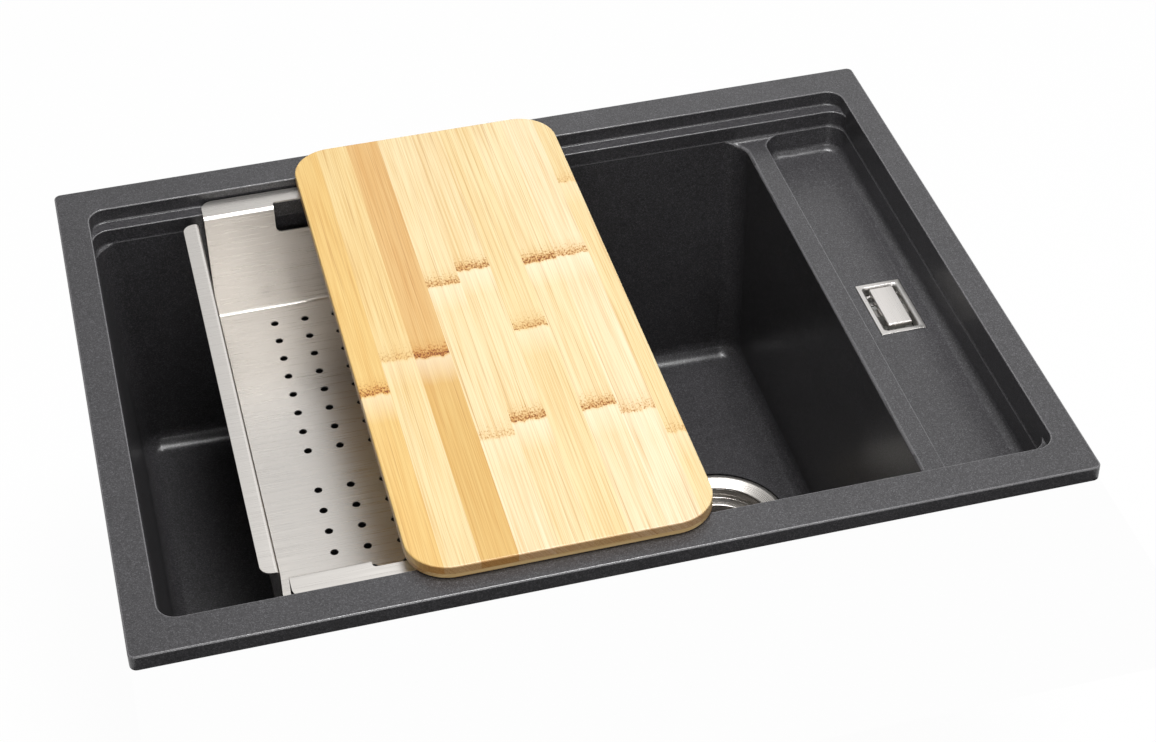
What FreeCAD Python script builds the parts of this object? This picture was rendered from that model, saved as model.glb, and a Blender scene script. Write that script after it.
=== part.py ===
import FreeCAD, Part
import math
import os

from FreeCAD import Rotation, Vector

# Workstation kitchen sink. Millimetres. The origin is the centre of the rim's underside, which
# lies on the worktop. +X runs to the right, +Y to the back and +Z up.

# --- rim and opening ---------------------------------------------------------------------
rim_width = 650.0
rim_depth = 500.0
rim_height = 12.0
rim_corner_radius = 5.0
rim_arris_radius = 1.2
rim_lower_radius = 0.8
left_rim = 23.0
right_rim = 21.0
end_rim = 28.5
opening_radius = 13.0
opening_arris_radius = 0.9
collar_depth = 14.0
collar_wall = 8.0
rim_overlap = 3.0

# --- ledge that carries the sliding pieces -----------------------------------------------
ledge_drop = 12.0
ledge_width = 11.0
ledge_fillet = 1.6
ledge_corner_radius = 13.0
ledge_arris_radius = 0.7

# --- bowl, ridge and shelf trough --------------------------------------------------------
casting_wall = 9.0
bowl_floor_thickness = 10.0
bowl_drop_left = 230.0
bowl_drop_right = 240.0
bowl_left_draft = 10.0
bowl_right_draft = 2.0
bowl_end_draft = 6.0
bowl_corner_radius = 17.0
bowl_floor_fillet = 14.0
ridge_drop = 27.0
ridge_width = 17.0
ridge_bowl_radius = 2.5
ridge_shelf_radius = 1.0
ridge_end_fillet = 4.0
shelf_width = 67.0
shelf_drop = 46.0
shelf_draft = 2.5
shelf_corner_radius = 13.0
shelf_floor_fillet = 7.0

# --- rim seal ----------------------------------------------------------------------------
rim_seal_inset = 5.0
rim_seal_width = 7.0
rim_seal_depth = 2.0

# --- outlet in the bowl floor ------------------------------------------------------------
drain_from_ridge = 80.0
outlet_hole_radius = 45.0
drain_boss_wall = 17.0
drain_boss_depth = 5.0
recess_gap = 1.5
seat_ring_inner = 49.5

# --- waste flange, a pressed steel dish --------------------------------------------------
flange_radius = 56.0
flange_sheet = 1.2
flange_sink = 1.0
flange_rim_width = 2.5
flange_under_bevel = 0.6
dish_drop = 3.0
well_radius = 43.5
well_wall = 0.9
basket_seat_drop = 13.5
lower_well_radius = 36.0
lower_well_depth = 22.5
outlet_slots = 8
slot_inner = 12.0
slot_outer = 24.0
slot_width = 6.0
seal_thickness = 1.5
flange_seal_radius = 55.0
flange_seal_hole_radius = 50.5

# --- strainer basket ---------------------------------------------------------------------
basket_sheet = 1.0
basket_rim_radius = 41.0
basket_radius = 33.0
basket_depth = 15.5
basket_wall_holes = 24
basket_wall_hole_radius = 1.6
basket_ring_radii = (14.0, 20.0, 26.0)
basket_ring_holes = (12, 18, 24)
basket_floor_hole_radius = 1.5
knob_radius = 11.0
knob_height = 7.0
knob_bevel = 2.2
knob_collar_radius = 5.0
knob_below_floor = 4.0
stem_radius = 3.0
stem_clearance = 0.05
stem_foot_radius = 6.0
stem_foot_thickness = 1.4
seal_disc_radius = 29.0
seal_disc_thickness = 2.0
seal_skirt_wall = 3.0
seal_lift = 0.3

# --- waste body, the plastic cup under the bowl ------------------------------------------
cup_flange_radius = 59.0
cup_flange_thickness = 4.0
cup_bore_radius = 46.5
cup_wall = 3.0
cup_depth = 56.0
body_seal_thickness = 2.0
body_seal_inner = 50.0
outlet_thread_radius = 23.9
outlet_bore_radius = 20.5
outlet_length = 34.0
thread_undercut = 1.0
thread_undercut_length = 2.0
web_depth_in_cup = 34.0
web_thickness = 5.0
web_height = 13.0
web_hub_radius = 9.0
waste_screw_radius = 3.0
waste_screw_head_radius = 7.0
waste_screw_head_height = 2.4
waste_screw_head_edge = 0.8
screw_slot_width = 1.2
screw_slot_depth = 1.2
insert_radius = 5.5
insert_length = 10.0

# --- overflow hose and its fittings ------------------------------------------------------
hose_bore_radius = 9.0
hose_root_radius = 10.6
hose_crest_radius = 12.6
hose_rib_pitch = 4.6
hose_valley = 1.4
hose_flank = 0.8
hose_crest = 1.5
hose_bore_steps = 12
hose_cuff_length = 26.0
spigot_radius = 8.6
spigot_bore_radius = 6.8
spigot_engagement = 16.0
branch_angle = 30.0
branch_reach = 73.0
branch_above_cup_floor = 23.0
branch_socket_radius = 12.0
nut_radius = 17.0
nut_length = 18.0
nut_grips = 8
nut_grip_radius = 1.4
hose_seal_length = 4.0
hose_seal_radius = 13.6
fitting_clearance = 0.1

# --- overflow in the shelf floor ---------------------------------------------------------
overflow_length = 60.0
overflow_width = 35.0
overflow_border = 5.0
overflow_sheet = 1.5
overflow_recess_gap = 0.4
overflow_proud = 0.4
overflow_edge_radius = 0.5
window_wall = 1.2
window_wall_depth = 7.0
cross_bar_drop = 4.5
cross_bar_thickness = 1.5
cross_bar_width = 2.4
cross_bar_offsets = (20.0, 11.0)
centre_bar_width = 8.0
cover_length = 44.0
cover_width = 19.0
cover_thickness = 2.0
cover_proud = 1.6
cover_edge_radius = 0.5
cover_leg_sheet = 1.2
cover_leg_width = 10.0
cover_leg_clearance = 0.1
overflow_plate_margin = 6.0
overflow_plate_thickness = 3.5
overflow_seal_thickness = 2.0
funnel_wall = 2.5
funnel_depth = 26.0
spigot_shoulder = 6.0
overflow_screw_radius = 2.5
overflow_screw_head_radius = 3.4
overflow_screw_head_height = 2.0
overflow_boss_radius = 5.0
overflow_boss_height = 10.0
overflow_boss_drop = 4.5

# --- rim clamps --------------------------------------------------------------------------
worktop_thickness = 40.0
clamp_spacing = 200.0
clamps_per_side = 3
boss_width = 28.0
boss_depth = 42.0
boss_reach = 1.0
anchor_drop = 27.0
anchor_radius = 5.0
anchor_length = 12.0
anchor_screw_radius = 2.4
anchor_screw_head_radius = 5.0
anchor_screw_head_height = 2.6
bracket_width = 20.0
bracket_sheet = 2.0
bracket_top_drop = 14.0
bracket_bend_radius = 2.0
bracket_reach = 18.5
bracket_below_worktop = 24.0
clamp_screw_radius = 3.0
clamp_screw_from_wall = 12.5
clamp_screw_tail = 12.0
wing_length = 20.0
wing_thickness = 2.5
wing_height = 9.0
pad_radius = 6.5
pad_thickness = 4.0
pad_socket_depth = 2.0
worktop_clearance = 0.3

# --- colander tray -----------------------------------------------------------------------
slide_clearance = 0.2
tray_sheet = 1.2
tray_bend_radius = 1.8
tray_left_gap = 79.4
tray_width = 216.0
tray_end_gap = 11.5
tray_tip_gap = 2.0
tray_flange_radius = 9.0
tray_depth = 97.0
tray_corner_relief = 6.0
tray_lip = 11.0
tray_lip_end_gap = 6.0
tray_lip_radius = 8.0
tray_above_ledge = 3.6
hole_radius = 3.0
hole_pitch_x = 24.0
hole_pitch_y = 22.0
hole_side_margin = 45.0
hole_end_margin = 20.0
handle_length = 96.0
handle_depth = 24.0
handle_in_flange = 6.0
handle_radius = 5.0
tray_pad_length = 14.0
tray_pad_width = 8.0
tray_pad_inset = 16.0
tray_pad_radius = 2.5
tray_pad_from_tip = 1.0

# --- bamboo board ------------------------------------------------------------------------
board_front_inset = 14.0
board_back_inset = 10.0
board_width = 206.8
board_left_gap = 160.0
board_radius = 30.0
board_top_ply_thickness = 6.2
board_bottom_ply_thickness = 3.8
board_edge_radius = 1.2

# --- how far cutters run past what they cut ----------------------------------------------
overrun = 1.0

# --- places worked out from the sizes above ----------------------------------------------
rim_top = rim_height
opening_x0 = -rim_width / 2 + left_rim
opening_x1 = rim_width / 2 - right_rim
opening_y = rim_depth / 2 - end_rim
ledge_z = rim_top - ledge_drop
ledge_y = opening_y - ledge_width
ridge_z = rim_top - ridge_drop
shelf_z = rim_top - shelf_drop
shelf_x0 = opening_x1 - shelf_width
bowl_x1 = shelf_x0 - ridge_width
bowl_floor_y = ledge_y - bowl_end_draft
bowl_floor_x0 = opening_x0 + bowl_left_draft
bowl_floor_x1 = bowl_x1 - bowl_right_draft
bowl_floor_left = rim_top - bowl_drop_left
bowl_floor_right = rim_top - bowl_drop_right
drain_x = bowl_x1 - drain_from_ridge
drain_slope = (bowl_floor_right - bowl_floor_left) / (bowl_floor_x1 - bowl_floor_x0)
drain_z = bowl_floor_left + drain_slope * (drain_x - bowl_floor_x0)
flange_top = drain_z - flange_sink
seat_z = flange_top - flange_sheet - seal_thickness
boss_z = drain_z - bowl_floor_thickness - drain_boss_depth
cup_top = boss_z - body_seal_thickness
cup_floor = cup_top - cup_depth
outlet_end = cup_floor - outlet_length
basket_seat_z = drain_z - basket_seat_drop
well_floor = basket_seat_z - lower_well_depth
overflow_x = (shelf_x0 + opening_x1) / 2
overflow_top = shelf_z + overflow_proud
window_length = overflow_length - 2 * overflow_border
window_width = overflow_width - 2 * overflow_border
bar_top = overflow_top - cross_bar_drop
bar_bottom = bar_top - cross_bar_thickness
shelf_underside = shelf_z - casting_wall
collar_y = opening_y + collar_wall
tray_x0 = opening_x0 + tray_left_gap
tray_x = tray_x0 + tray_width / 2
tray_length = 2 * (ledge_y - tray_end_gap)
tray_flange = opening_y - tray_tip_gap - tray_length / 2
tray_top = ledge_z + slide_clearance + tray_above_ledge + tray_sheet
board_z = rim_top + slide_clearance
board_x0 = opening_x0 + board_left_gap
board_y0 = board_front_inset - rim_depth / 2
board_y1 = rim_depth / 2 - board_back_inset


def box(x0, x1, y0, y1, z0, z1):
    return Part.makeBox(x1 - x0, y1 - y0, z1 - z0, Vector(x0, y0, z0))


def cylinder(radius, x, y, z0, z1):
    return Part.makeCylinder(radius, z1 - z0, Vector(x, y, z0))


def rounded_box(x0, x1, y0, y1, z0, z1, radius):
    block = box(x0, x1, y0, y1, z0, z1)
    return block.makeFillet(radius, upright_edges(block))


def upright_edges(solid):
    return [edge for edge in solid.Edges if edge.BoundBox.ZLength > 0.6 * solid.BoundBox.ZLength]


def level_edges(solid, z):
    """Edges that lie in the level plane at z."""
    return [edge for edge in solid.Edges
            if abs(edge.BoundBox.ZMin - z) < 1e-4 and abs(edge.BoundBox.ZMax - z) < 1e-4]


def polygon_face(points):
    return Part.Face(Part.makePolygon(points + points[:1]))


def turned(profile, x, y):
    """Solid of revolution about the upright axis at x, y; the profile is (radius, z) points."""
    face = polygon_face([Vector(x + radius, y, z) for radius, z in profile])
    return face.revolve(Vector(x, y, 0), Vector(0, 0, 1), 360)


def ring(outer, inner, x, y, z0, z1):
    return cylinder(outer, x, y, z0, z1).cut(cylinder(inner, x, y, z0, z1))


def rectangle_wire(x0, x1, half_depth, z):
    corners = [Vector(x0, -half_depth, z), Vector(x1, -half_depth, z), Vector(x1, half_depth, z),
               Vector(x0, half_depth, z)]
    return Part.makePolygon(corners + corners[:1])


def drafted_block(top, bottom, z_top, z_left, z_right):
    """Block with leaning walls: top and bottom are (x0, x1, half depth), the floor slopes in X."""
    z_low = min(z_left, z_right)
    block = Part.makeLoft([rectangle_wire(*top, z_top), rectangle_wire(*bottom, z_low)], True, True)
    x0, x1, half_depth = bottom
    if z_left == z_right:
        return block
    slope = (z_right - z_left) / (x1 - x0)
    reach = x1 - x0
    low = z_low - 2 * abs(z_right - z_left) - overrun
    below = polygon_face([Vector(x0 - reach, -half_depth, z_left - slope * reach),
                          Vector(x1 + reach, -half_depth, z_right + slope * reach),
                          Vector(x1 + reach, -half_depth, low), Vector(x0 - reach, -half_depth, low)])
    below.translate(Vector(0, -half_depth, 0))
    return block.cut(below.extrude(Vector(0, 4 * half_depth, 0)))


def floor_edges(solid, z_limit):
    return [edge for edge in solid.Edges if edge.BoundBox.ZMax < z_limit]


def softened_basin(top, bottom, z_top, z_left, z_right, corner_radius, floor_radius):
    basin = drafted_block(top, bottom, z_top, z_left, z_right)
    basin = basin.makeFillet(corner_radius, upright_edges(basin))
    middle = (z_top + max(z_left, z_right)) / 2
    return basin.makeFillet(floor_radius, floor_edges(basin, middle))


# --- the casting -------------------------------------------------------------------------

def clamp_places():
    first = -clamp_spacing * (clamps_per_side - 1) / 2
    return [(first + clamp_spacing * index, side) for index in range(clamps_per_side) for side in (-1, 1)]


def rim_plate():
    plate = rounded_box(-rim_width / 2, rim_width / 2, -rim_depth / 2, rim_depth / 2, 0, rim_height,
                        rim_corner_radius)
    plate = plate.makeFillet(rim_arris_radius, level_edges(plate, rim_height))
    return plate.makeFillet(rim_lower_radius, level_edges(plate, 0))


def bowl_outside():
    wall = casting_wall
    x0 = opening_x0 - wall + overrun
    floor_x0 = bowl_floor_x0 - wall + overrun
    return softened_basin((x0, bowl_x1 + wall, ledge_y + wall),
                          (floor_x0, bowl_floor_x1 + wall, bowl_floor_y + wall), ledge_z,
                          bowl_floor_left - bowl_floor_thickness, bowl_floor_right - bowl_floor_thickness,
                          bowl_corner_radius + wall, bowl_floor_fillet + wall)


def trough_outside():
    x0 = bowl_x1 - casting_wall
    x1 = opening_x1 + casting_wall - overrun
    half_depth = ledge_y + casting_wall
    return softened_basin((x0, x1, half_depth), (x0, x1 - shelf_draft, half_depth - shelf_draft), ledge_z,
                          shelf_underside, shelf_underside, shelf_corner_radius + casting_wall,
                          shelf_floor_fillet)


def casting_outside():
    """Everything the casting fills below and around its hollows."""
    collar = rounded_box(opening_x0 - collar_wall, opening_x1 + collar_wall, -collar_y, collar_y,
                         -collar_depth, rim_overlap, opening_radius + collar_wall)
    drain_boss = cylinder(outlet_hole_radius + drain_boss_wall, drain_x, 0, boss_z, drain_z - rim_overlap)
    return rim_plate().multiFuse([bowl_outside(), trough_outside(), collar, drain_boss] + clamp_bosses())


def clamp_bosses():
    """Blocks on the front and back walls that hold the clamp anchors."""
    bosses = []
    for x, side in clamp_places():
        inner = side * (ledge_y + casting_wall / 2)
        outer = side * (collar_y + boss_reach)
        y0, y1 = sorted((inner, outer))
        bosses.append(box(x - boss_width / 2, x + boss_width / 2, y0, y1, -boss_depth, rim_overlap))
    return bosses


def opening_hollow():
    """The straight-walled opening above the ledge, with the small fillet where it meets the ledge."""
    hollow = rounded_box(opening_x0, opening_x1, -opening_y, opening_y, ledge_z, rim_top + overrun,
                         opening_radius)
    return hollow.makeFillet(ledge_fillet, level_edges(hollow, ledge_z))


def upper_hollow():
    """The hollow between ledge and ridge that bowl and trough share."""
    hollow = rounded_box(opening_x0, opening_x1, -ledge_y, ledge_y, ridge_z, ledge_z + ledge_fillet,
                         ledge_corner_radius)
    return hollow.makeFillet(ridge_end_fillet, level_edges(hollow, ridge_z))


def ledge_arris():
    """What the rounding of the ledge's edge takes away, along the straights and round the corners."""
    radius = ledge_arris_radius
    corner = ledge_corner_radius
    turn = radius * (1 - math.sqrt(0.5))

    def flare(origin, outward):
        def at(out, z):
            return origin + outward * (corner + out) + Vector(0, 0, ledge_z + z)

        sides = [Part.makePolygon([at(0, -radius), at(-overrun, -radius), at(-overrun, overrun),
                                   at(radius, overrun), at(radius, 0)]),
                 Part.Arc(at(radius, 0), at(turn, -turn), at(0, -radius)).toShape()]
        return Part.Face(Part.Wire(sides))

    length = opening_x1 - opening_x0 - 2 * corner
    pieces = []
    for side in (-1, 1):
        outward = Vector(0, side, 0)
        left = Vector(opening_x0 + corner, side * (ledge_y - corner), 0)
        right = Vector(opening_x1 - corner, side * (ledge_y - corner), 0)
        pieces.append(flare(left, outward).extrude(Vector(length, 0, 0)))
        pieces.append(flare(left, outward).revolve(left, Vector(0, 0, side), 90))
        pieces.append(flare(right, outward).revolve(right, Vector(0, 0, -side), 90))
    opening = rounded_box(opening_x0, opening_x1, -opening_y, opening_y, ledge_z - 2 * radius,
                          ledge_z + overrun, opening_radius)
    return [piece.common(opening) for piece in pieces]


def bowl_hollow():
    return softened_basin((opening_x0, bowl_x1, ledge_y), (bowl_floor_x0, bowl_floor_x1, bowl_floor_y),
                          ledge_z, bowl_floor_left, bowl_floor_right, bowl_corner_radius, bowl_floor_fillet)


def trough_hollow():
    x1 = opening_x1 - shelf_draft
    return softened_basin((shelf_x0, opening_x1, ledge_y), (shelf_x0, x1, ledge_y - shelf_draft), ledge_z,
                          shelf_z, shelf_z, shelf_corner_radius, shelf_floor_fillet)


def drain_hollow():
    """Recess and hole for the waste, with the cone that clears the flange's dish."""
    recess = flange_radius + recess_gap
    above = drain_z + bowl_floor_thickness
    below = boss_z - overrun
    cone_end = seat_z - dish_drop
    return turned([(0, above), (recess, above), (recess, seat_z), (seat_ring_inner, seat_z),
                   (outlet_hole_radius, cone_end), (outlet_hole_radius, below), (0, below)], drain_x, 0)


def overflow_hollow():
    half_width = overflow_width / 2 + overflow_recess_gap
    half_length = overflow_length / 2 + overflow_recess_gap
    hole_width = window_width / 2 + window_wall + overflow_recess_gap
    hole_length = window_length / 2 + window_wall + overflow_recess_gap
    recess = box(overflow_x - half_width, overflow_x + half_width, -half_length, half_length,
                 overflow_top - overflow_sheet, shelf_z + casting_wall)
    hole = box(overflow_x - hole_width, overflow_x + hole_width, -hole_length, hole_length,
               shelf_underside - overrun, shelf_z)
    return recess.fuse(hole)


def rim_seal():
    outer_x = rim_width / 2 - rim_seal_inset
    outer_y = rim_depth / 2 - rim_seal_inset
    inner_x = outer_x - rim_seal_width
    inner_y = outer_y - rim_seal_width
    return box(-outer_x, outer_x, -outer_y, outer_y, 0, rim_seal_depth).cut(
        box(-inner_x, inner_x, -inner_y, inner_y, 0, rim_seal_depth))


def anchor_hole(x, side):
    face = side * (collar_y + boss_reach)
    return Part.makeCylinder(anchor_radius, anchor_length, Vector(x, face, -anchor_drop), Vector(0, -side, 0))


def ridge_edge(casting, x0, x1):
    """The long level edge of the ridge that lies between x0 and x1."""
    return [edge for edge in level_edges(casting, ridge_z)
            if edge.BoundBox.YLength > ledge_y and x0 < edge.BoundBox.XMin and edge.BoundBox.XMax < x1]


def sink_body():
    casting = casting_outside()
    for hollow in [opening_hollow(), upper_hollow(), bowl_hollow(), trough_hollow(), drain_hollow(),
                   overflow_hollow(), rim_seal()] + ledge_arris():
        casting = casting.cut(hollow)
    for x, side in clamp_places():
        casting = casting.cut(anchor_hole(x, side))
    casting = casting.removeSplitter()
    middle = (bowl_x1 + shelf_x0) / 2
    casting = casting.makeFillet(ridge_bowl_radius, ridge_edge(casting, bowl_x1 - overrun, middle))
    casting = casting.makeFillet(ridge_shelf_radius, ridge_edge(casting, middle, shelf_x0 + overrun))
    x0 = opening_x0 - overrun
    x1 = opening_x1 + overrun
    opening_edges = [edge for edge in level_edges(casting, rim_top)
                     if x0 < edge.BoundBox.XMin and edge.BoundBox.XMax < x1]
    return casting.makeFillet(opening_arris_radius, opening_edges)


# --- waste -------------------------------------------------------------------------------

def waste_flange():
    """Pressed dish: rim, cone, well, basket seat and slotted floor, all in one sheet."""
    sheet = flange_sheet
    rim_inner = flange_radius - flange_rim_width
    dish_z = flange_top - dish_drop
    well_outer = well_radius + well_wall
    low_outer = lower_well_radius + well_wall
    inside = [(flange_radius, flange_top - sheet), (flange_radius, flange_top), (rim_inner, flange_top),
              (well_radius, dish_z), (well_radius, basket_seat_z), (lower_well_radius, basket_seat_z),
              (lower_well_radius, well_floor), (0, well_floor)]
    outside = [(0, well_floor - sheet), (low_outer, well_floor - sheet), (low_outer, basket_seat_z - sheet),
               (well_outer, basket_seat_z - sheet), (well_outer, dish_z - sheet),
               (rim_inner - flange_under_bevel, flange_top - sheet)]
    shell = turned(inside + outside, drain_x, 0)
    low = well_floor - sheet - overrun
    high = well_floor + overrun
    cuts = [cylinder(waste_screw_radius + fitting_clearance, drain_x, 0, low, high)]
    for index in range(outlet_slots):
        slot = box(drain_x + slot_inner, drain_x + slot_outer, -slot_width / 2, slot_width / 2, low, high)
        slot.rotate(Vector(drain_x, 0, 0), Vector(0, 0, 1), 360.0 * index / outlet_slots)
        cuts.append(slot)
    return shell.cut(Part.makeCompound(cuts))


def flange_seal():
    """Ring that is pressed to the slope of the dish at its inner edge."""
    outer = flange_seal_radius
    inner = flange_seal_hole_radius
    slope_start = flange_radius - flange_rim_width - flange_under_bevel
    slope = dish_drop / (slope_start - well_radius - well_wall)
    top = seat_z + seal_thickness
    inner_top = top - slope * (slope_start - inner)
    return turned([(outer, seat_z), (outer, top), (slope_start, top), (inner, inner_top), (inner, seat_z)],
                  drain_x, 0)


def body_seal():
    return ring(cup_flange_radius, body_seal_inner, drain_x, 0, cup_top, boss_z)


def branch_direction():
    angle = math.radians(branch_angle)
    return Vector(math.cos(angle), 0, math.sin(angle))


def branch_end():
    """Centre of the mouth of the overflow branch."""
    rise = branch_above_cup_floor + (branch_reach - cup_bore_radius) * math.tan(math.radians(branch_angle))
    return Vector(drain_x + branch_reach, 0, cup_floor + rise)


def web_top():
    return cup_top - web_depth_in_cup


def waste_passage():
    """The bore that leads from the cup into the overflow branch."""
    direction = branch_direction()
    mouth = branch_end()
    length = branch_reach / direction.x
    return Part.makeCylinder(spigot_bore_radius, length, mouth.sub(direction * length), direction)


def waste_cup():
    outer = cup_bore_radius + cup_wall
    cup_underside = cup_floor - cup_wall
    neck = outlet_thread_radius - thread_undercut
    thread_top = cup_underside - thread_undercut_length
    shell = turned([(cup_flange_radius, cup_top), (cup_flange_radius, cup_top - cup_flange_thickness),
                    (outer, cup_top - cup_flange_thickness), (outer, cup_underside),
                    (neck, cup_underside), (neck, thread_top), (outlet_thread_radius, thread_top),
                    (outlet_thread_radius, outlet_end), (0, outlet_end), (0, cup_top)], drain_x, 0)
    direction = branch_direction()
    mouth = branch_end()
    length = branch_reach / direction.x
    socket = Part.makeCylinder(branch_socket_radius, length - spigot_engagement,
                               mouth.sub(direction * length), direction)
    spigot = Part.makeCylinder(spigot_radius, spigot_engagement, mouth.sub(direction * spigot_engagement),
                               direction)
    hollow = turned([(0, cup_top), (cup_bore_radius, cup_top), (cup_bore_radius, cup_floor),
                     (outlet_bore_radius, cup_underside), (outlet_bore_radius, outlet_end),
                     (0, outlet_end)], drain_x, 0)
    return shell.multiFuse([socket, spigot]).cut(hollow)


def waste_bridge():
    """Crossed webs inside the cup, with the hub that holds the threaded insert."""
    span = cup_bore_radius + cup_wall / 2
    half = web_thickness / 2
    top = web_top()
    low = top - web_height
    web = box(drain_x - span, drain_x + span, -half, half, low, top)
    cross = box(drain_x - half, drain_x + half, -span, span, low, top)
    hub = cylinder(web_hub_radius, drain_x, 0, low, top)
    screw_way = cylinder(waste_screw_radius + fitting_clearance, drain_x, 0, low, top)
    return web.multiFuse([cross, hub]).cut(waste_insert_seat()).cut(screw_way)


def waste_body():
    return waste_cup().fuse(waste_bridge()).cut(waste_passage())


def waste_insert_seat():
    return cylinder(insert_radius, drain_x, 0, web_top() - insert_length, web_top())


def waste_insert():
    return ring(insert_radius, waste_screw_radius, drain_x, 0, web_top() - insert_length, web_top())


def waste_screw():
    """Screw that draws flange and cup together through the bowl floor."""
    end = web_top() - insert_length
    head_top = well_floor + waste_screw_head_height
    head = cylinder(waste_screw_head_radius, drain_x, 0, well_floor, head_top)
    head = head.makeFillet(waste_screw_head_edge, level_edges(head, head_top))
    slot = box(drain_x - waste_screw_head_radius, drain_x + waste_screw_head_radius, -screw_slot_width / 2,
               screw_slot_width / 2, head_top - screw_slot_depth, head_top + overrun)
    return head.cut(slot).fuse(cylinder(waste_screw_radius, drain_x, 0, end, well_floor))


# --- strainer ----------------------------------------------------------------------------

basket_rim_z = basket_seat_z + basket_sheet
basket_floor = basket_rim_z - basket_depth
seal_z = basket_floor - basket_sheet


def basket_holes():
    """Rings of holes in the basket's floor and one ring in its wall."""
    holes = []
    for radius, count in zip(basket_ring_radii, basket_ring_holes):
        for index in range(count):
            angle = 2 * math.pi * index / count
            holes.append(cylinder(basket_floor_hole_radius, drain_x + radius * math.cos(angle),
                                  radius * math.sin(angle), seal_z - overrun, basket_floor + overrun))
    for index in range(basket_wall_holes):
        angle = 2 * math.pi * (index + 0.5) / basket_wall_holes
        outward = Vector(math.cos(angle), math.sin(angle), 0)
        start = Vector(drain_x, 0, (basket_rim_z + basket_floor) / 2) + outward * (basket_radius / 2)
        holes.append(Part.makeCylinder(basket_wall_hole_radius, basket_radius, start, outward))
    return holes


def strainer_basket():
    sheet = basket_sheet
    shell = turned([(basket_rim_radius, basket_rim_z - sheet), (basket_rim_radius, basket_rim_z),
                    (basket_radius, basket_rim_z), (basket_radius - sheet, basket_floor), (0, basket_floor),
                    (0, seal_z), (basket_radius, seal_z),
                    (basket_radius + sheet, basket_rim_z - sheet)], drain_x, 0)
    stem_hole = cylinder(stem_radius + stem_clearance, drain_x, 0, seal_z - overrun, basket_floor + overrun)
    return shell.cut(Part.makeCompound(basket_holes() + [stem_hole]))


def basket_seal():
    """Rubber disc with a skirt that closes the well's slots."""
    foot = well_floor + seal_lift
    lower = seal_z - seal_disc_thickness
    inner = seal_disc_radius - seal_skirt_wall
    hole = stem_radius + stem_clearance
    return turned([(hole, seal_z), (seal_disc_radius, seal_z), (seal_disc_radius, foot), (inner, foot),
                   (inner, lower), (hole, lower)], drain_x, 0)


def basket_knob():
    top = drain_z - knob_below_floor
    under = top - knob_height
    foot = seal_z - seal_disc_thickness
    collar = knob_collar_radius
    inner = knob_radius - knob_bevel
    return turned([(0, top), (inner, top), (knob_radius, top - knob_bevel), (knob_radius, under + knob_bevel),
                   (inner, under), (collar, under), (collar, basket_floor), (stem_radius, basket_floor),
                   (stem_radius, foot), (stem_foot_radius, foot),
                   (stem_foot_radius, foot - stem_foot_thickness), (0, foot - stem_foot_thickness)],
                  drain_x, 0)


# --- overflow ----------------------------------------------------------------------------

def overflow_frame():
    half_width = overflow_width / 2
    half_length = overflow_length / 2
    win_x = window_width / 2
    win_y = window_length / 2
    x = overflow_x
    border = box(x - half_width, x + half_width, -half_length, half_length, overflow_top - overflow_sheet,
                 overflow_top)
    border = border.makeFillet(overflow_edge_radius, level_edges(border, overflow_top))
    skirt = box(x - win_x - window_wall, x + win_x + window_wall, -win_y - window_wall, win_y + window_wall,
                overflow_top - window_wall_depth, overflow_top - overflow_sheet)
    window = box(x - win_x, x + win_x, -win_y, win_y, overflow_top - window_wall_depth, overflow_top)
    bars = [box(x - win_x, x + win_x, y - cross_bar_width / 2, y + cross_bar_width / 2, bar_bottom, bar_top)
            for y in cross_bar_offsets]
    bars.append(box(x - win_x, x + win_x, -centre_bar_width / 2, centre_bar_width / 2, bar_bottom, bar_top))
    frame = border.fuse(skirt).cut(window).multiFuse(bars)
    screw_hole = cylinder(overflow_screw_radius + fitting_clearance, x, 0, bar_bottom - overrun,
                          bar_top + overrun)
    return frame.cut(screw_hole)


def overflow_cover():
    """Loose plate on two legs that grip the frame's centre bar."""
    x = overflow_x
    top = overflow_top + cover_proud
    under = top - cover_thickness
    plate = box(x - cover_width / 2, x + cover_width / 2, -cover_length / 2, cover_length / 2, under, top)
    plate = plate.makeFillet(cover_edge_radius, level_edges(plate, top))
    inner = centre_bar_width / 2 + cover_leg_clearance
    legs = []
    for side in (-1, 1):
        y0, y1 = sorted((side * inner, side * (inner + cover_leg_sheet)))
        legs.append(box(x - cover_leg_width / 2, x + cover_leg_width / 2, y0, y1,
                        bar_bottom - cover_leg_sheet, under))
    return plate.multiFuse(legs)


overflow_body_top = shelf_underside - overflow_seal_thickness
funnel_end = overflow_body_top - overflow_plate_thickness - funnel_depth
hose_top = funnel_end - spigot_shoulder
boss_head = overflow_body_top - overflow_boss_drop
boss_foot = boss_head - overflow_boss_height


def overflow_plate_half():
    return (overflow_width / 2 + overflow_plate_margin, overflow_length / 2 + overflow_plate_margin)


def overflow_mouth_half():
    clearance = overflow_recess_gap
    return (window_width / 2 + window_wall + clearance, window_length / 2 + window_wall + clearance)


def overflow_seal():
    half_x, half_y = overflow_plate_half()
    mouth_x, mouth_y = overflow_mouth_half()
    x = overflow_x
    return box(x - half_x, x + half_x, -half_y, half_y, overflow_body_top, shelf_underside).cut(
        box(x - mouth_x, x + mouth_x, -mouth_y, mouth_y, overflow_body_top, shelf_underside))


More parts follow.
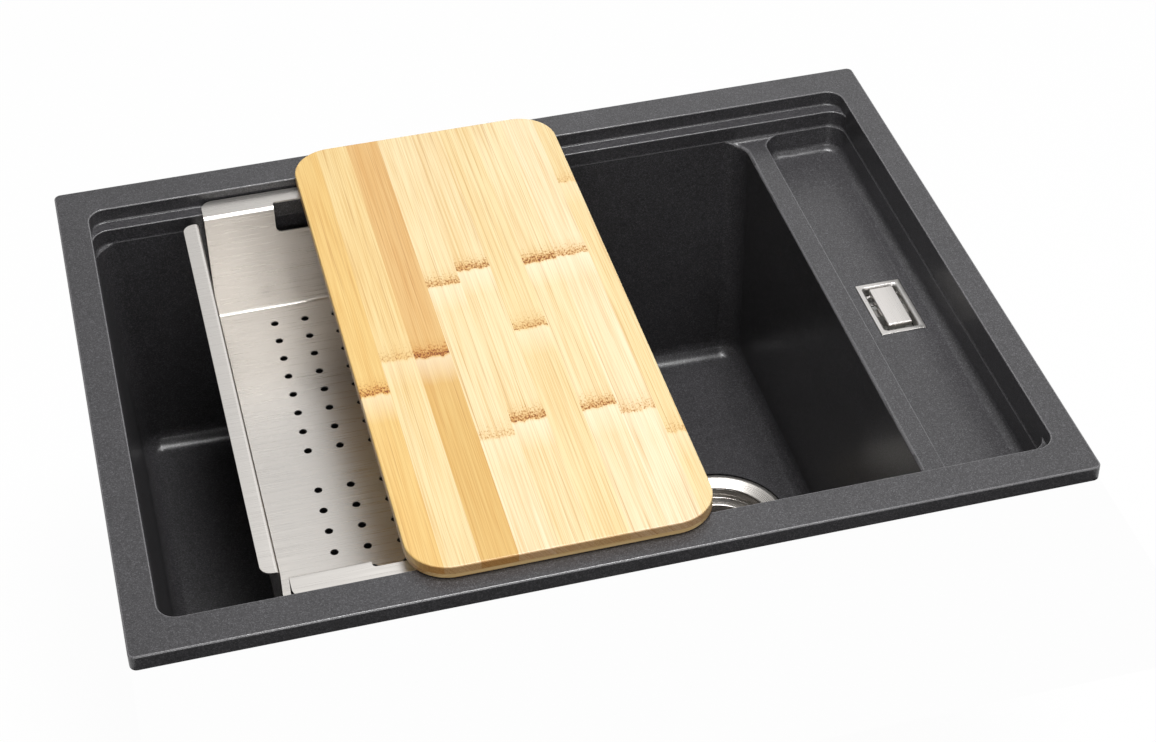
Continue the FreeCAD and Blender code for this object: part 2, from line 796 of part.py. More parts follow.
def overflow_body():
    """Plate, funnel and spigot under the shelf, with the boss that takes the screw."""
    half_x, half_y = overflow_plate_half()
    mouth_x, mouth_y = overflow_mouth_half()
    x = overflow_x
    plate_z = overflow_body_top - overflow_plate_thickness
    plate = box(x - half_x, x + half_x, -half_y, half_y, plate_z, overflow_body_top)
    outer_x = mouth_x + funnel_wall
    neck = spigot_radius + funnel_wall
    bore = spigot_bore_radius
    funnel = Part.makeLoft([rectangle_wire(x - outer_x, x + outer_x, mouth_y + funnel_wall, plate_z),
                            rectangle_wire(x - neck, x + neck, neck, funnel_end)], True, True)
    shoulder = cylinder(neck, x, 0, hose_top, funnel_end)
    spigot = cylinder(spigot_radius, x, 0, hose_top - spigot_engagement, hose_top)
    mouth = box(x - mouth_x, x + mouth_x, -mouth_y, mouth_y, plate_z, overflow_body_top)
    inside = Part.makeLoft([rectangle_wire(x - mouth_x, x + mouth_x, mouth_y, plate_z),
                            rectangle_wire(x - bore, x + bore, bore, funnel_end)], True, True)
    hose_way = cylinder(bore, x, 0, hose_top - spigot_engagement, funnel_end)
    body = plate.multiFuse([funnel, shoulder, spigot]).cut(mouth).cut(inside).cut(hose_way)
    boss = cylinder(overflow_boss_radius, x, 0, boss_foot, boss_head)
    strap = box(x - mouth_x, x + mouth_x, -funnel_wall / 2, funnel_wall / 2, boss_foot, boss_head)
    boss = boss.fuse(strap).common(plate.fuse(funnel))
    return body.fuse(boss.cut(cylinder(overflow_screw_radius, x, 0, boss_foot, boss_head)))


def overflow_screw():
    head = cylinder(overflow_screw_head_radius, overflow_x, 0, bar_top, bar_top + overflow_screw_head_height)
    return head.fuse(cylinder(overflow_screw_radius, overflow_x, 0, boss_foot, bar_top))


# --- overflow hose -----------------------------------------------------------------------

def hose_route():
    """Straight, one arc, straight: start, start of the arc, its centre, radius and first heading."""
    direction = branch_direction()
    start = branch_end().sub(direction * spigot_engagement)
    bend_start = start.add(direction * hose_cuff_length)
    angle = math.radians(branch_angle)
    radius = (overflow_x - bend_start.x) / (1 - math.sin(angle))
    centre = Vector(overflow_x - radius, 0, bend_start.z + radius * math.cos(angle))
    return start, bend_start, centre, radius, angle


def hose_point(distance):
    """Place and heading on the hose's centre line, at a distance from its lower end."""
    start, bend_start, centre, radius, angle = hose_route()
    if distance <= hose_cuff_length:
        return start.add(branch_direction() * distance), branch_direction()
    bend = radius * (math.pi / 2 - angle)
    along = distance - hose_cuff_length
    if along < bend:
        heading = angle + along / radius
        place = centre.add(Vector(math.sin(heading), 0, -math.cos(heading)) * radius)
        return place, Vector(math.cos(heading), 0, math.sin(heading))
    return Vector(overflow_x, 0, centre.z + along - bend), Vector(0, 0, 1)


def hose_length():
    start, bend_start, centre, radius, angle = hose_route()
    return hose_cuff_length + radius * (math.pi / 2 - angle) + (hose_top - centre.z)


def hose_circle(distance, radius):
    place, heading = hose_point(distance)
    circle = Part.Circle(place, heading, radius)
    circle.XAxis = Vector(0, 1, 0)
    return Part.Wire(circle.toShape())


def hose_stations():
    """Distance and radius of each circle: a cuff, three circles for each rib, a cuff."""
    length = hose_length()
    ribbed = length - 2 * hose_cuff_length
    count = max(1, int(ribbed / hose_rib_pitch))
    pitch = ribbed / count
    stations = [(0.0, hose_crest_radius)]
    for index in range(count):
        foot = hose_cuff_length + index * pitch
        stations.append((foot, hose_root_radius if index else hose_crest_radius))
        stations.append((foot + hose_valley, hose_root_radius))
        stations.append((foot + hose_valley + hose_flank, hose_crest_radius))
        stations.append((foot + hose_valley + hose_flank + hose_crest, hose_crest_radius))
    stations.append((hose_cuff_length + ribbed, hose_crest_radius))
    stations.append((length, hose_crest_radius))
    return stations


def overflow_hose():
    length = hose_length()
    ribbed = length - 2 * hose_cuff_length
    outside = Part.makeLoft([hose_circle(place, radius) for place, radius in hose_stations()], True, True)
    places = [hose_cuff_length + ribbed * index / hose_bore_steps for index in range(hose_bore_steps + 1)]
    places = [0.0] + places + [length]
    bore = Part.makeLoft([hose_circle(place, hose_bore_radius) for place in places], True, True)
    return outside.cut(bore)


def hose_ends():
    """Mouth of each spigot and the direction in which its hose end leaves."""
    lower, direction = hose_point(0.0)
    upper = Vector(overflow_x, 0, hose_top)
    return [(lower, direction), (upper, Vector(0, 0, -1))]


def hose_seals():
    rings = []
    for place, direction in hose_ends():
        outer = Part.makeCylinder(hose_seal_radius, hose_seal_length, place, direction)
        inner = Part.makeCylinder(hose_crest_radius, hose_seal_length, place, direction)
        rings.append(outer.cut(inner))
    return Part.makeCompound(rings)


def hose_nuts():
    """Ribbed compression nuts round the hose ends."""
    nuts = []
    for place, direction in hose_ends():
        nut = Part.makeCylinder(nut_radius, nut_length, place, direction)
        turn = Rotation(Vector(0, 0, 1), direction)
        for index in range(nut_grips):
            angle = 2 * math.pi * index / nut_grips
            outward = turn.multVec(Vector(math.cos(angle), math.sin(angle), 0))
            centre = place.add(outward * nut_radius)
            nut = nut.cut(Part.makeCylinder(nut_grip_radius, nut_length, centre, direction))
        pocket = Part.makeCylinder(hose_seal_radius, hose_seal_length, place, direction)
        bore = Part.makeCylinder(hose_crest_radius + fitting_clearance, nut_length, place, direction)
        nuts.append(nut.cut(pocket).cut(bore))
    return Part.makeCompound(nuts)


# --- rim clamps --------------------------------------------------------------------------

boss_face = collar_y + boss_reach
bracket_floor = -(worktop_thickness + bracket_below_worktop)
pad_top = -worktop_thickness - worktop_clearance


def clamp_anchors():
    bodies = []
    for x, side in clamp_places():
        bore = Part.makeCylinder(anchor_screw_radius, anchor_length,
                                 Vector(x, side * boss_face, -anchor_drop), Vector(0, -side, 0))
        bodies.append(anchor_hole(x, side).cut(bore))
    return Part.makeCompound(bodies)


def bent_strip(x, side):
    """Upright leg on the boss, one bend, and a foot that reaches out under the worktop."""
    sheet = bracket_sheet
    radius = bracket_bend_radius
    wall = boss_face
    top = -bracket_top_drop
    low = bracket_floor
    end = wall + bracket_reach
    inner = wall + sheet
    shelf = low + sheet
    turn = math.sqrt(0.5)
    centre_y = inner + radius
    centre_z = shelf + radius
    outer = radius + sheet
    edges = [Part.LineSegment(Vector(x, side * wall, top), Vector(x, side * wall, centre_z)),
             Part.Arc(Vector(x, side * wall, centre_z),
                      Vector(x, side * (centre_y - outer * turn), centre_z - outer * turn),
                      Vector(x, side * centre_y, low)),
             Part.LineSegment(Vector(x, side * centre_y, low), Vector(x, side * end, low)),
             Part.LineSegment(Vector(x, side * end, low), Vector(x, side * end, shelf)),
             Part.LineSegment(Vector(x, side * end, shelf), Vector(x, side * centre_y, shelf)),
             Part.Arc(Vector(x, side * centre_y, shelf),
                      Vector(x, side * (centre_y - radius * turn), centre_z - radius * turn),
                      Vector(x, side * inner, centre_z)),
             Part.LineSegment(Vector(x, side * inner, centre_z), Vector(x, side * inner, top)),
             Part.LineSegment(Vector(x, side * inner, top), Vector(x, side * wall, top))]
    face = Part.Face(Part.Wire([edge.toShape() for edge in edges]))
    strip = face.extrude(Vector(bracket_width, 0, 0))
    strip.translate(Vector(-bracket_width / 2, 0, 0))
    return strip


def clamp_axis_y(side):
    return side * (boss_face + clamp_screw_from_wall)


def clamp_brackets():
    strips = []
    for x, side in clamp_places():
        strip = bent_strip(x, side)
        start = Vector(x, side * (boss_face - overrun), -anchor_drop)
        hole = Part.makeCylinder(anchor_screw_radius + fitting_clearance, bracket_sheet + 2 * overrun, start,
                                 Vector(0, side, 0))
        thread = cylinder(clamp_screw_radius, x, clamp_axis_y(side), bracket_floor - overrun,
                          bracket_floor + bracket_sheet + overrun)
        strips.append(strip.cut(hole).cut(thread))
    return Part.makeCompound(strips)


def anchor_screws():
    screws = []
    for x, side in clamp_places():
        face = side * (boss_face + bracket_sheet)
        outward = Vector(0, side, 0)
        head = Part.makeCylinder(anchor_screw_head_radius, anchor_screw_head_height,
                                 Vector(x, face, -anchor_drop), outward)
        shank = Part.makeCylinder(anchor_screw_radius, anchor_length + bracket_sheet,
                                  Vector(x, face, -anchor_drop), Vector(0, -side, 0))
        screws.append(head.fuse(shank))
    return Part.makeCompound(screws)


def clamp_screws():
    """Wing screws that press the pads up against the worktop's underside."""
    screws = []
    for x, side in clamp_places():
        y = clamp_axis_y(side)
        low = bracket_floor - clamp_screw_tail
        shank = cylinder(clamp_screw_radius, x, y, low, pad_top - pad_thickness + pad_socket_depth)
        wing = box(x - wing_length / 2, x + wing_length / 2, y - wing_thickness / 2, y + wing_thickness / 2,
                   low - wing_height / 2, low + wing_height / 2)
        screws.append(shank.fuse(wing))
    return Part.makeCompound(screws)


def clamp_pads():
    pads = []
    for x, side in clamp_places():
        y = clamp_axis_y(side)
        low = pad_top - pad_thickness
        pad = cylinder(pad_radius, x, y, low, pad_top)
        pads.append(pad.cut(cylinder(clamp_screw_radius, x, y, low, low + pad_socket_depth)))
    return Part.makeCompound(pads)


# --- colander tray -----------------------------------------------------------------------

def folded_channel(half, depth, flange, run, along_y):
    """Folded sheet channel, as long as twice run."""
    outline = channel_outline(half, depth, flange)
    points = []
    for across, z in outline:
        points.append(Vector(-run, across, z) if along_y else Vector(across, -run, z))
    solid = rounded_bends(points, along_y)
    direction = Vector(2 * run, 0, 0) if along_y else Vector(0, 2 * run, 0)
    return solid.extrude(direction)


def channel_outline(half, depth, flange):
    """Sharp-cornered outline of the channel, anticlockwise from the far flange's tip."""
    sheet = tray_sheet
    tip = half + flange
    return [(tip, -sheet), (tip, 0), (half - sheet, 0), (half - sheet, sheet - depth),
            (sheet - half, sheet - depth), (sheet - half, 0), (-tip, 0), (-tip, -sheet), (-half, -sheet),
            (-half, -depth), (half, -depth), (half, -sheet)]


def rounded_bends(points, along_y):
    """Face from the sharp outline, with an arc at each of its eight bend corners."""
    inner = tray_bend_radius
    outer = inner + tray_sheet
    radii = [0, 0, outer, inner, inner, outer, 0, 0, inner, outer, outer, inner]
    edges = []
    previous = None
    first = None
    count = len(points)
    for index in range(count):
        corner = points[index]
        radius = radii[index]
        back = (points[index - 1] - corner).normalize()
        ahead = (points[(index + 1) % count] - corner).normalize()
        enter = corner + back * radius
        leave = corner + ahead * radius
        if previous is None:
            first = enter
        else:
            edges.append(Part.LineSegment(previous, enter).toShape())
        if radius:
            middle = corner + (back + ahead) * (radius * (1 - math.sqrt(0.5)))
            edges.append(Part.Arc(enter, middle, leave).toShape())
        previous = leave
    edges.append(Part.LineSegment(previous, first).toShape())
    return Part.Face(Part.Wire(edges))


def hole_centres(span, pitch, margin, keep_middle):
    """Centres at whole or half pitches either side of the middle, within the margins."""
    limit = span / 2 - margin
    first = pitch / 2 if not keep_middle else pitch
    count = int((limit - first) / pitch + 1e-6) + 1
    places = [first + pitch * index for index in range(max(count, 0))]
    return sorted([-place for place in places] + places)


def handle_cutter(side):
    """Cut-out through end wall and flange, with rounded corners."""
    wall = tray_length / 2
    half = handle_length / 2
    y0 = wall - tray_bend_radius - 2 * tray_sheet
    y1 = wall + handle_in_flange
    high = tray_sheet + handle_radius
    through = box(-half, half, y0, y1, -handle_depth, high)
    lower = [edge for edge in through.Edges if edge.BoundBox.YLength > 0 and edge.BoundBox.ZMax < 0]
    through = through.makeFillet(handle_radius, lower)
    outer = [edge for edge in upright_edges(through) if edge.BoundBox.YMin > wall]
    through = through.makeFillet(handle_in_flange / 2, outer)
    if side < 0:
        through = through.mirror(Vector(0, 0, 0), Vector(0, 1, 0))
    return through


def colander_tray():
    half_x = tray_width / 2
    half_y = tray_length / 2
    ends = folded_channel(half_y, tray_depth, tray_flange, half_x - tray_corner_relief, True)
    sides = folded_channel(half_x, tray_depth, tray_lip, half_y - tray_lip_end_gap, False)
    flange_tip = half_y + tray_flange
    lip_tip = half_x + tray_lip
    end_plan = rounded_box(tray_corner_relief - half_x, half_x - tray_corner_relief, -flange_tip, flange_tip,
                           -tray_depth, overrun, tray_flange_radius)
    side_plan = rounded_box(-lip_tip, lip_tip, tray_lip_end_gap - half_y, half_y - tray_lip_end_gap,
                            -tray_depth, overrun, tray_lip_radius)
    tray = ends.common(end_plan).fuse(sides.common(side_plan))
    holes = []
    low = -tray_depth - overrun
    high = tray_sheet - tray_depth + overrun
    for x in hole_centres(tray_width, hole_pitch_x, hole_side_margin, False):
        for y in hole_centres(tray_length, hole_pitch_y, hole_end_margin, True):
            holes.append(cylinder(hole_radius, x, y, low, high))
    tray = tray.cut(Part.makeCompound(holes))
    for side in (-1, 1):
        tray = tray.cut(handle_cutter(side))
    tray = tray.removeSplitter()
    tray.translate(Vector(tray_x, 0, tray_top))
    return tray


def tray_pads():
    """Soft strips between the tray's flanges and the ledge."""
    pads = []
    low = ledge_z + slide_clearance
    half_x = tray_width / 2 - tray_corner_relief - tray_pad_inset
    outer = tray_length / 2 + tray_flange - tray_pad_from_tip
    for x in (tray_x - half_x, tray_x + half_x):
        for side in (-1, 1):
            y0, y1 = sorted((side * outer, side * (outer - tray_pad_width)))
            pads.append(rounded_box(x - tray_pad_length / 2, x + tray_pad_length / 2, y0, y1, low,
                                    tray_top - tray_sheet, tray_pad_radius))
    return Part.makeCompound(pads)


# --- bamboo board ------------------------------------------------------------------------

def board_ply(z0, z1, eased_z):
    ply = rounded_box(board_x0, board_x0 + board_width, board_y0, board_y1, z0, z1, board_radius)
    return ply.makeFillet(board_edge_radius, level_edges(ply, eased_z))


def board_bottom_ply():
    return board_ply(board_z, board_z + board_bottom_ply_thickness, board_z)


def board_top_ply():
    low = board_z + board_bottom_ply_thickness
    return board_ply(low, low + board_top_ply_thickness, low + board_top_ply_thickness)


nodes = {
    "sink_body": sink_body,
    "rim_seal": rim_seal,
    "clamp_anchors": clamp_anchors,
    "clamp_brackets": clamp_brackets,
    "anchor_screws": anchor_screws,
    "clamp_screws": clamp_screws,
    "clamp_pads": clamp_pads,
    "waste_flange": waste_flange,
    "flange_seal": flange_seal,
    "body_seal": body_seal,
    "waste_body": waste_body,
    "waste_insert": waste_insert,
    "waste_screw": waste_screw,
    "strainer_basket": strainer_basket,
    "basket_seal": basket_seal,
    "basket_knob": basket_knob,
    "overflow_frame": overflow_frame,
    "overflow_cover": overflow_cover,
    "overflow_seal": overflow_seal,
    "overflow_body": overflow_body,
    "overflow_screw": overflow_screw,
    "overflow_hose": overflow_hose,
    "hose_seals": hose_seals,
    "hose_nuts": hose_nuts,
    "colander_tray": colander_tray,
    "tray_pads": tray_pads,
    "board_top_ply": board_top_ply,
    "board_bottom_ply": board_bottom_ply,
}

os.makedirs("parts", exist_ok=True)
for name, make in nodes.items():
    shape = make()
    shape.exportStep("parts/%s.step" % name)
    print("%-18s solids %2d  valid %s" % (name, len(shape.Solids), shape.isValid()))
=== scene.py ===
import math

import bmesh
import bpy
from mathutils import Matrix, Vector


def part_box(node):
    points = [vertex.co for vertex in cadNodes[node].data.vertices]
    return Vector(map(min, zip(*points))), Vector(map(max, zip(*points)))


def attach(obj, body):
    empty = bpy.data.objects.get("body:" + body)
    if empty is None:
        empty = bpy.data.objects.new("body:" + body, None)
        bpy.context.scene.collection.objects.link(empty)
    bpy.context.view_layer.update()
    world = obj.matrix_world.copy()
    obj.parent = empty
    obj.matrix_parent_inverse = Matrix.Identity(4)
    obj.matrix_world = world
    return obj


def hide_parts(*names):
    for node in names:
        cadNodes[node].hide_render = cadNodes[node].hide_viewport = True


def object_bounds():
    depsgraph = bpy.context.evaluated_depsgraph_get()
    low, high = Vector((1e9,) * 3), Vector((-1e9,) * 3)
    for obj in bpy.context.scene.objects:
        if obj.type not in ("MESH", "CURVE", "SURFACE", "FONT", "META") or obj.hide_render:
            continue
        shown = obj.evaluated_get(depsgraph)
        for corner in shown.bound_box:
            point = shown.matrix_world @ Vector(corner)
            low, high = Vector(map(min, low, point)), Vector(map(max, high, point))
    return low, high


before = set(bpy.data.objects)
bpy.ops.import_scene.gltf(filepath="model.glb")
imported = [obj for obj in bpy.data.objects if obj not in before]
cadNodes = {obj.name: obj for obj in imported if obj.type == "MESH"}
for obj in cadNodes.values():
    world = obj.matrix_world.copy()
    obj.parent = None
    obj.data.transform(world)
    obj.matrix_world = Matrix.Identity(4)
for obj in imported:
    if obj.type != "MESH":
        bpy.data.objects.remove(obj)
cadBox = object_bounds()
print("frame loaded:", len(cadNodes), "nodes")

mm = 0.001  # metres in a millimetre
flangeLow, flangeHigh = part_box("waste_flange")
drainX = (flangeLow.x + flangeHigh.x) / 2


def toLinear(hexColour):
    channels = [int(hexColour[i:i + 2], 16) / 255 for i in (1, 3, 5)]
    return tuple(c / 12.92 if c <= 0.04045 else ((c + 0.055) / 1.055) ** 2.4 for c in channels) + (1.0,)


def addNode(tree, kind, inputs=None, **settings):
    node = tree.nodes.new(kind)
    for name, value in settings.items():
        setattr(node, name, value)
    for name, value in (inputs or {}).items():
        socket = node.inputs[name]
        if isinstance(value, bpy.types.NodeSocket):
            tree.links.new(value, socket)
        else:
            socket.default_value = value
    return node


def newMaterial(name):
    material = bpy.data.materials.new(name)
    material.use_nodes = True
    tree = material.node_tree
    shader = tree.nodes["Principled BSDF"]
    return material, tree, shader


def fillRamp(ramp, stops, interpolation="LINEAR"):
    band = ramp.color_ramp
    band.interpolation = interpolation
    while len(band.elements) < len(stops):
        band.elements.new(0.5)
    for element, (position, colour) in zip(band.elements, stops):
        element.position = position
        element.color = colour
    return ramp


def setShading(mesh, sharpDegrees):
    # smooth faces, with edges kept sharp where the surface turns by more than the angle
    shape = bmesh.new()
    shape.from_mesh(mesh)
    for face in shape.faces:
        face.smooth = True
    limit = math.radians(sharpDegrees)
    for edge in shape.edges:
        edge.smooth = edge.is_manifold and edge.calc_face_angle(0) < limit
    shape.to_mesh(mesh)
    shape.free()


def finishPiece(piece, body, material, replaced=()):
    piece.data.materials.clear()
    piece.data.materials.append(material)
    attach(piece, body)
    if replaced:
        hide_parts(*replaced)
    return piece


def markArrises(shape, look):
    # each face of a narrow outward rounding gets a value up to 1, by how tightly it is bent; the value places
    # the composite's painted highlight
    layer = shape.faces.layers.float.new("arris")
    gentle, tight = 1 / look["widestMm"], 1 / look["tightestMm"]
    for face in shape.faces:
        bend = 0.0
        for edge in face.edges:
            if edge.is_manifold:
                width = 2 * face.calc_area() / max(edge.calc_length(), 1e-9) / mm
                bend = max(bend, edge.calc_face_angle_signed(0.0) / max(width, 1e-3))
        face[layer] = min(1.0, max(0.0, (bend - gentle) / (tight - gentle)))


def roundRings(shape, rings, centreX):
    # eases the circular edges of a turned piece: radius, height and size of each rounding in mm
    bmesh.ops.dissolve_limit(shape, verts=shape.verts, edges=shape.edges, angle_limit=math.radians(0.5),
                             delimit=set())
    for radiusMm, heightMm, easeMm in rings:
        picked = []
        for edge in shape.edges:
            ends = [(math.hypot(v.co.x - centreX, v.co.y) / mm, v.co.z / mm) for v in edge.verts]
            if all(abs(r - radiusMm) < 0.05 and abs(z - heightMm) < 0.05 for r, z in ends):
                picked.append(edge)
        bmesh.ops.bevel(shape, geom=picked, offset=easeMm * mm, offset_type="OFFSET", segments=4,
                        profile=0.5, affect="EDGES", material=-1)


def weldedCopy(nodeName, pieceName, body, material, sharpDegrees=32, mergeMm=0.002, rework=None):
    # the CAD solid's own shape, merged so that its roundings shade smoothly
    mesh = cadNodes[nodeName].data.copy()
    mesh.name = pieceName
    shape = bmesh.new()
    shape.from_mesh(mesh)
    bmesh.ops.remove_doubles(shape, verts=shape.verts, dist=mergeMm * mm)
    if rework:
        rework(shape)
    shape.to_mesh(mesh)
    shape.free()
    if "custom_normal" in mesh.attributes:
        mesh.attributes.remove(mesh.attributes["custom_normal"])
    setShading(mesh, sharpDegrees)
    piece = bpy.data.objects.new(pieceName, mesh)
    bpy.context.scene.collection.objects.link(piece)
    even = piece.modifiers.new("evenNormals", "WEIGHTED_NORMAL")
    even.keep_sharp = True
    even.weight = 100
    return finishPiece(piece, body, material, (nodeName,))


def turnNormals(piece, centreX, mostAcross):
    # a turned piece's shading normals lean only to or from its axis, however its faces are divided;
    # faces that look along the turn by more than the share given, such as a slot's walls, stay as they are
    bpy.context.view_layer.update()
    even = piece.evaluated_get(bpy.context.evaluated_depsgraph_get()).data
    normals = [Vector(normal.vector) for normal in even.corner_normals]
    piece.modifiers.clear()
    mesh = piece.data
    for face in mesh.polygons:
        for corner in face.loop_indices:
            place = mesh.vertices[mesh.loops[corner].vertex_index].co
            outwards = Vector((place.x - centreX, place.y, 0)).normalized()
            across = outwards.cross(Vector((0, 0, 1)))
            if abs(face.normal.dot(across)) < mostAcross:
                normals[corner] -= across * normals[corner].dot(across)
                normals[corner].normalize()
    mesh.normals_split_custom_set(normals)


def newPiece(pieceName, shape, body, material, replaced, sharpDegrees=32):
    # a finished bmesh becomes a piece that stands for the CAD nodes named
    bmesh.ops.remove_doubles(shape, verts=shape.verts, dist=0.0005 * mm)
    bmesh.ops.recalc_face_normals(shape, faces=shape.faces)
    mesh = bpy.data.meshes.new(pieceName)
    shape.to_mesh(mesh)
    shape.free()
    setShading(mesh, sharpDegrees)
    piece = bpy.data.objects.new(pieceName, mesh)
    bpy.context.scene.collection.objects.link(piece)
    even = piece.modifiers.new("evenNormals", "WEIGHTED_NORMAL")
    even.keep_sharp = True
    return finishPiece(piece, body, material, replaced)


# the camera stands where the photograph was taken from
cameraLook = {"place": (-0.294458, -1.296042, 1.103665), "turnDeg": (49.38139, 0.85226, -14.67285),
              "lensMm": 74.387, "sensorMm": 36.0}

cameraData = bpy.data.cameras.new("photoCamera")
cameraData.lens = cameraLook["lensMm"]
cameraData.sensor_width = cameraLook["sensorMm"]
cameraData.clip_start = 0.05
cameraData.clip_end = 30
camera = bpy.data.objects.new("photoCamera", cameraData)
camera.location = cameraLook["place"]
camera.rotation_euler = [math.radians(a) for a in cameraLook["turnDeg"]]
bpy.context.scene.collection.objects.link(camera)
bpy.context.scene.camera = camera
print("camera placed")


# the sand's grains are about 0.3 mm and are drawn twice as coarse, since finer ones would blur to one grey
# the arris colour is a painted highlight, laid on the narrow roundings
compositeLook = {"body": "#3f3e40", "lightGrain": "#5e5d60", "darkGrain": "#29282a", "arris": "#7a797b",
                 "grainMm": 0.6, "cloudMm": 45, "roughness": 0.3, "roughSpread": 0.07, "arrisRoughness": 0.2,
                 "specularLevel": 0.5, "grainDepthMm": 0.05}


def quartzComposite(name, look):
    # quartz sand bound in acrylic, cast matt: dark grey, with grains that glint where light falls on it;
    # on the narrow roundings a painted highlight lightens the colour to a thin light line, and the gloss
    # there is smoother
    material, tree, shader = newMaterial(name)
    place = addNode(tree, "ShaderNodeTexCoord").outputs["Object"]
    cells = addNode(tree, "ShaderNodeTexVoronoi", {"Vector": place, "Scale": 1000 / look["grainMm"]})
    pick = addNode(tree, "ShaderNodeSeparateColor", {"Color": cells.outputs["Color"]}).outputs["Red"]
    grains = fillRamp(addNode(tree, "ShaderNodeValToRGB", {"Fac": pick}),
                      [(0.0, toLinear(look["darkGrain"])), (0.4, toLinear(look["body"])),
                       (0.7, toLinear(look["body"])), (1.0, toLinear(look["lightGrain"]))])
    clouds = addNode(tree, "ShaderNodeTexNoise", {"Vector": place, "Scale": 1000 / look["cloudMm"],
                                                  "Detail": 3.0})
    shade = addNode(tree, "ShaderNodeMapRange", {"Value": clouds.outputs["Fac"], "From Min": 0.3,
                                                 "From Max": 0.7, "To Min": 0.93, "To Max": 1.07})
    tint = addNode(tree, "ShaderNodeVectorMath", {0: grains.outputs["Color"]}, operation="SCALE")
    tree.links.new(shade.outputs["Result"], tint.inputs["Scale"])
    arrisBend = addNode(tree, "ShaderNodeAttribute", attribute_name="arris").outputs["Fac"]
    fine = addNode(tree, "ShaderNodeTexNoise", {"Vector": place, "Scale": 1000 / look["grainMm"],
                                                "Detail": 2.0})
    broken = addNode(tree, "ShaderNodeMapRange", {"Value": fine.outputs["Fac"], "From Min": 0.35,
                                                  "From Max": 0.6, "To Min": 0.35})
    # painted highlight: on the marked roundings the colour is lightened towards the arris colour, broken up
    # by fine noise; the same share makes the gloss smoother there
    paintedHighlightShare = addNode(tree, "ShaderNodeMath", {0: arrisBend, 1: broken.outputs["Result"]}, operation="MULTIPLY")
    colour = addNode(tree, "ShaderNodeMix", {"Factor": paintedHighlightShare.outputs[0], 6: tint.outputs["Vector"],
                                             7: toLinear(look["arris"])}, data_type="RGBA")
    tree.links.new(colour.outputs[2], shader.inputs["Base Color"])
    rough = addNode(tree, "ShaderNodeMapRange", {"Value": fine.outputs["Fac"],
                                                 "To Min": look["roughness"] - look["roughSpread"],
                                                 "To Max": look["roughness"] + look["roughSpread"]})
    smooth = addNode(tree, "ShaderNodeMix", {"Factor": paintedHighlightShare.outputs[0], 2: rough.outputs["Result"],
                                             3: look["arrisRoughness"]})
    tree.links.new(smooth.outputs[0], shader.inputs["Roughness"])
    bump = addNode(tree, "ShaderNodeBump", {"Height": fine.outputs["Fac"], "Strength": 0.3,
                                            "Distance": look["grainDepthMm"] * mm})
    tree.links.new(bump.outputs["Normal"], shader.inputs["Normal"])
    shader.inputs["Specular IOR Level"].default_value = look["specularLevel"]
    return material


# scratches are nearer 0.1 mm wide and are drawn coarser, so that the brushing can be seen
steelLook = {"colour": "#dcd8d3", "roughness": 0.3, "lineMm": 0.45, "lineLengthMm": 60, "depthMm": 0.004}


def brushedSteel(name, look, along="X"):
    # austenitic sheet brushed in one direction: long fine scratches, soft stretched highlights
    material, tree, shader = newMaterial(name)
    shader.inputs["Metallic"].default_value = 1.0
    place = addNode(tree, "ShaderNodeTexCoord").outputs["Object"]
    squeeze = look["lineMm"] / look["lineLengthMm"]
    axis = "XYZ".index(along)
    lineScale = [squeeze if i == axis else 1.0 for i in range(3)]
    wallScale = [1.0, 1.0, squeeze]  # on walls square to the brushing the scratches run upright
    flat = addNode(tree, "ShaderNodeMapping", {"Vector": place, "Scale": lineScale})
    wall = addNode(tree, "ShaderNodeMapping", {"Vector": place, "Scale": wallScale})
    facing = addNode(tree, "ShaderNodeNewGeometry").outputs["True Normal"]
    parts = addNode(tree, "ShaderNodeSeparateXYZ", {"Vector": facing})
    side = addNode(tree, "ShaderNodeMath", {0: parts.outputs[axis]}, operation="ABSOLUTE")
    onSide = addNode(tree, "ShaderNodeMath", {0: side.outputs[0], 1: 0.75}, operation="GREATER_THAN")
    lines = []
    for mapped in (flat, wall):
        lines.append(addNode(tree, "ShaderNodeTexNoise", {"Vector": mapped.outputs[0], "Detail": 3.0,
                                                          "Scale": 1000 / look["lineMm"]}).outputs["Fac"])
    scratch = addNode(tree, "ShaderNodeMix", {"Factor": onSide.outputs[0], "A": lines[0], "B": lines[1]})
    height = scratch.outputs["Result"]
    tone = fillRamp(addNode(tree, "ShaderNodeValToRGB", {"Fac": height}),
                    [(0.25, tuple(c * 0.92 for c in toLinear(look["colour"])[:3]) + (1,)),
                     (0.75, toLinear(look["colour"]))])
    tree.links.new(tone.outputs["Color"], shader.inputs["Base Color"])
    rough = addNode(tree, "ShaderNodeMapRange", {"Value": height, "From Min": 0.25, "From Max": 0.75,
                                                 "To Min": look["roughness"] - 0.06,
                                                 "To Max": look["roughness"] + 0.08})
    tree.links.new(rough.outputs["Result"], shader.inputs["Roughness"])
    bump = addNode(tree, "ShaderNodeBump", {"Height": height, "Strength": 0.5,
                                            "Distance": look["depthMm"] * mm})
    tree.links.new(bump.outputs["Normal"], shader.inputs["Normal"])
    return material


def plainMetal(name, colour, roughness, blotchMm=6):
    # pressed or turned metal, smooth, with the faint unevenness of handling in its gloss
    material, tree, shader = newMaterial(name)
    shader.inputs["Metallic"].default_value = 1.0
    shader.inputs["Base Color"].default_value = toLinear(colour)
    place = addNode(tree, "ShaderNodeTexCoord").outputs["Object"]
    blotch = addNode(tree, "ShaderNodeTexNoise", {"Vector": place, "Scale": 1000 / blotchMm, "Detail": 4.0})
    rough = addNode(tree, "ShaderNodeMapRange", {"Value": blotch.outputs["Fac"], "To Min": roughness * 0.7,
                                                 "To Max": roughness * 1.3})
    tree.links.new(rough.outputs["Result"], shader.inputs["Roughness"])
    return material


# lathe lines are nearer 0.1 mm apart and are drawn coarser, so that they are seen from where the camera is
spunLook = {"colour": "#c4c0bb", "roughness": 0.26, "lineMm": 0.35, "depthMm": 0.003}


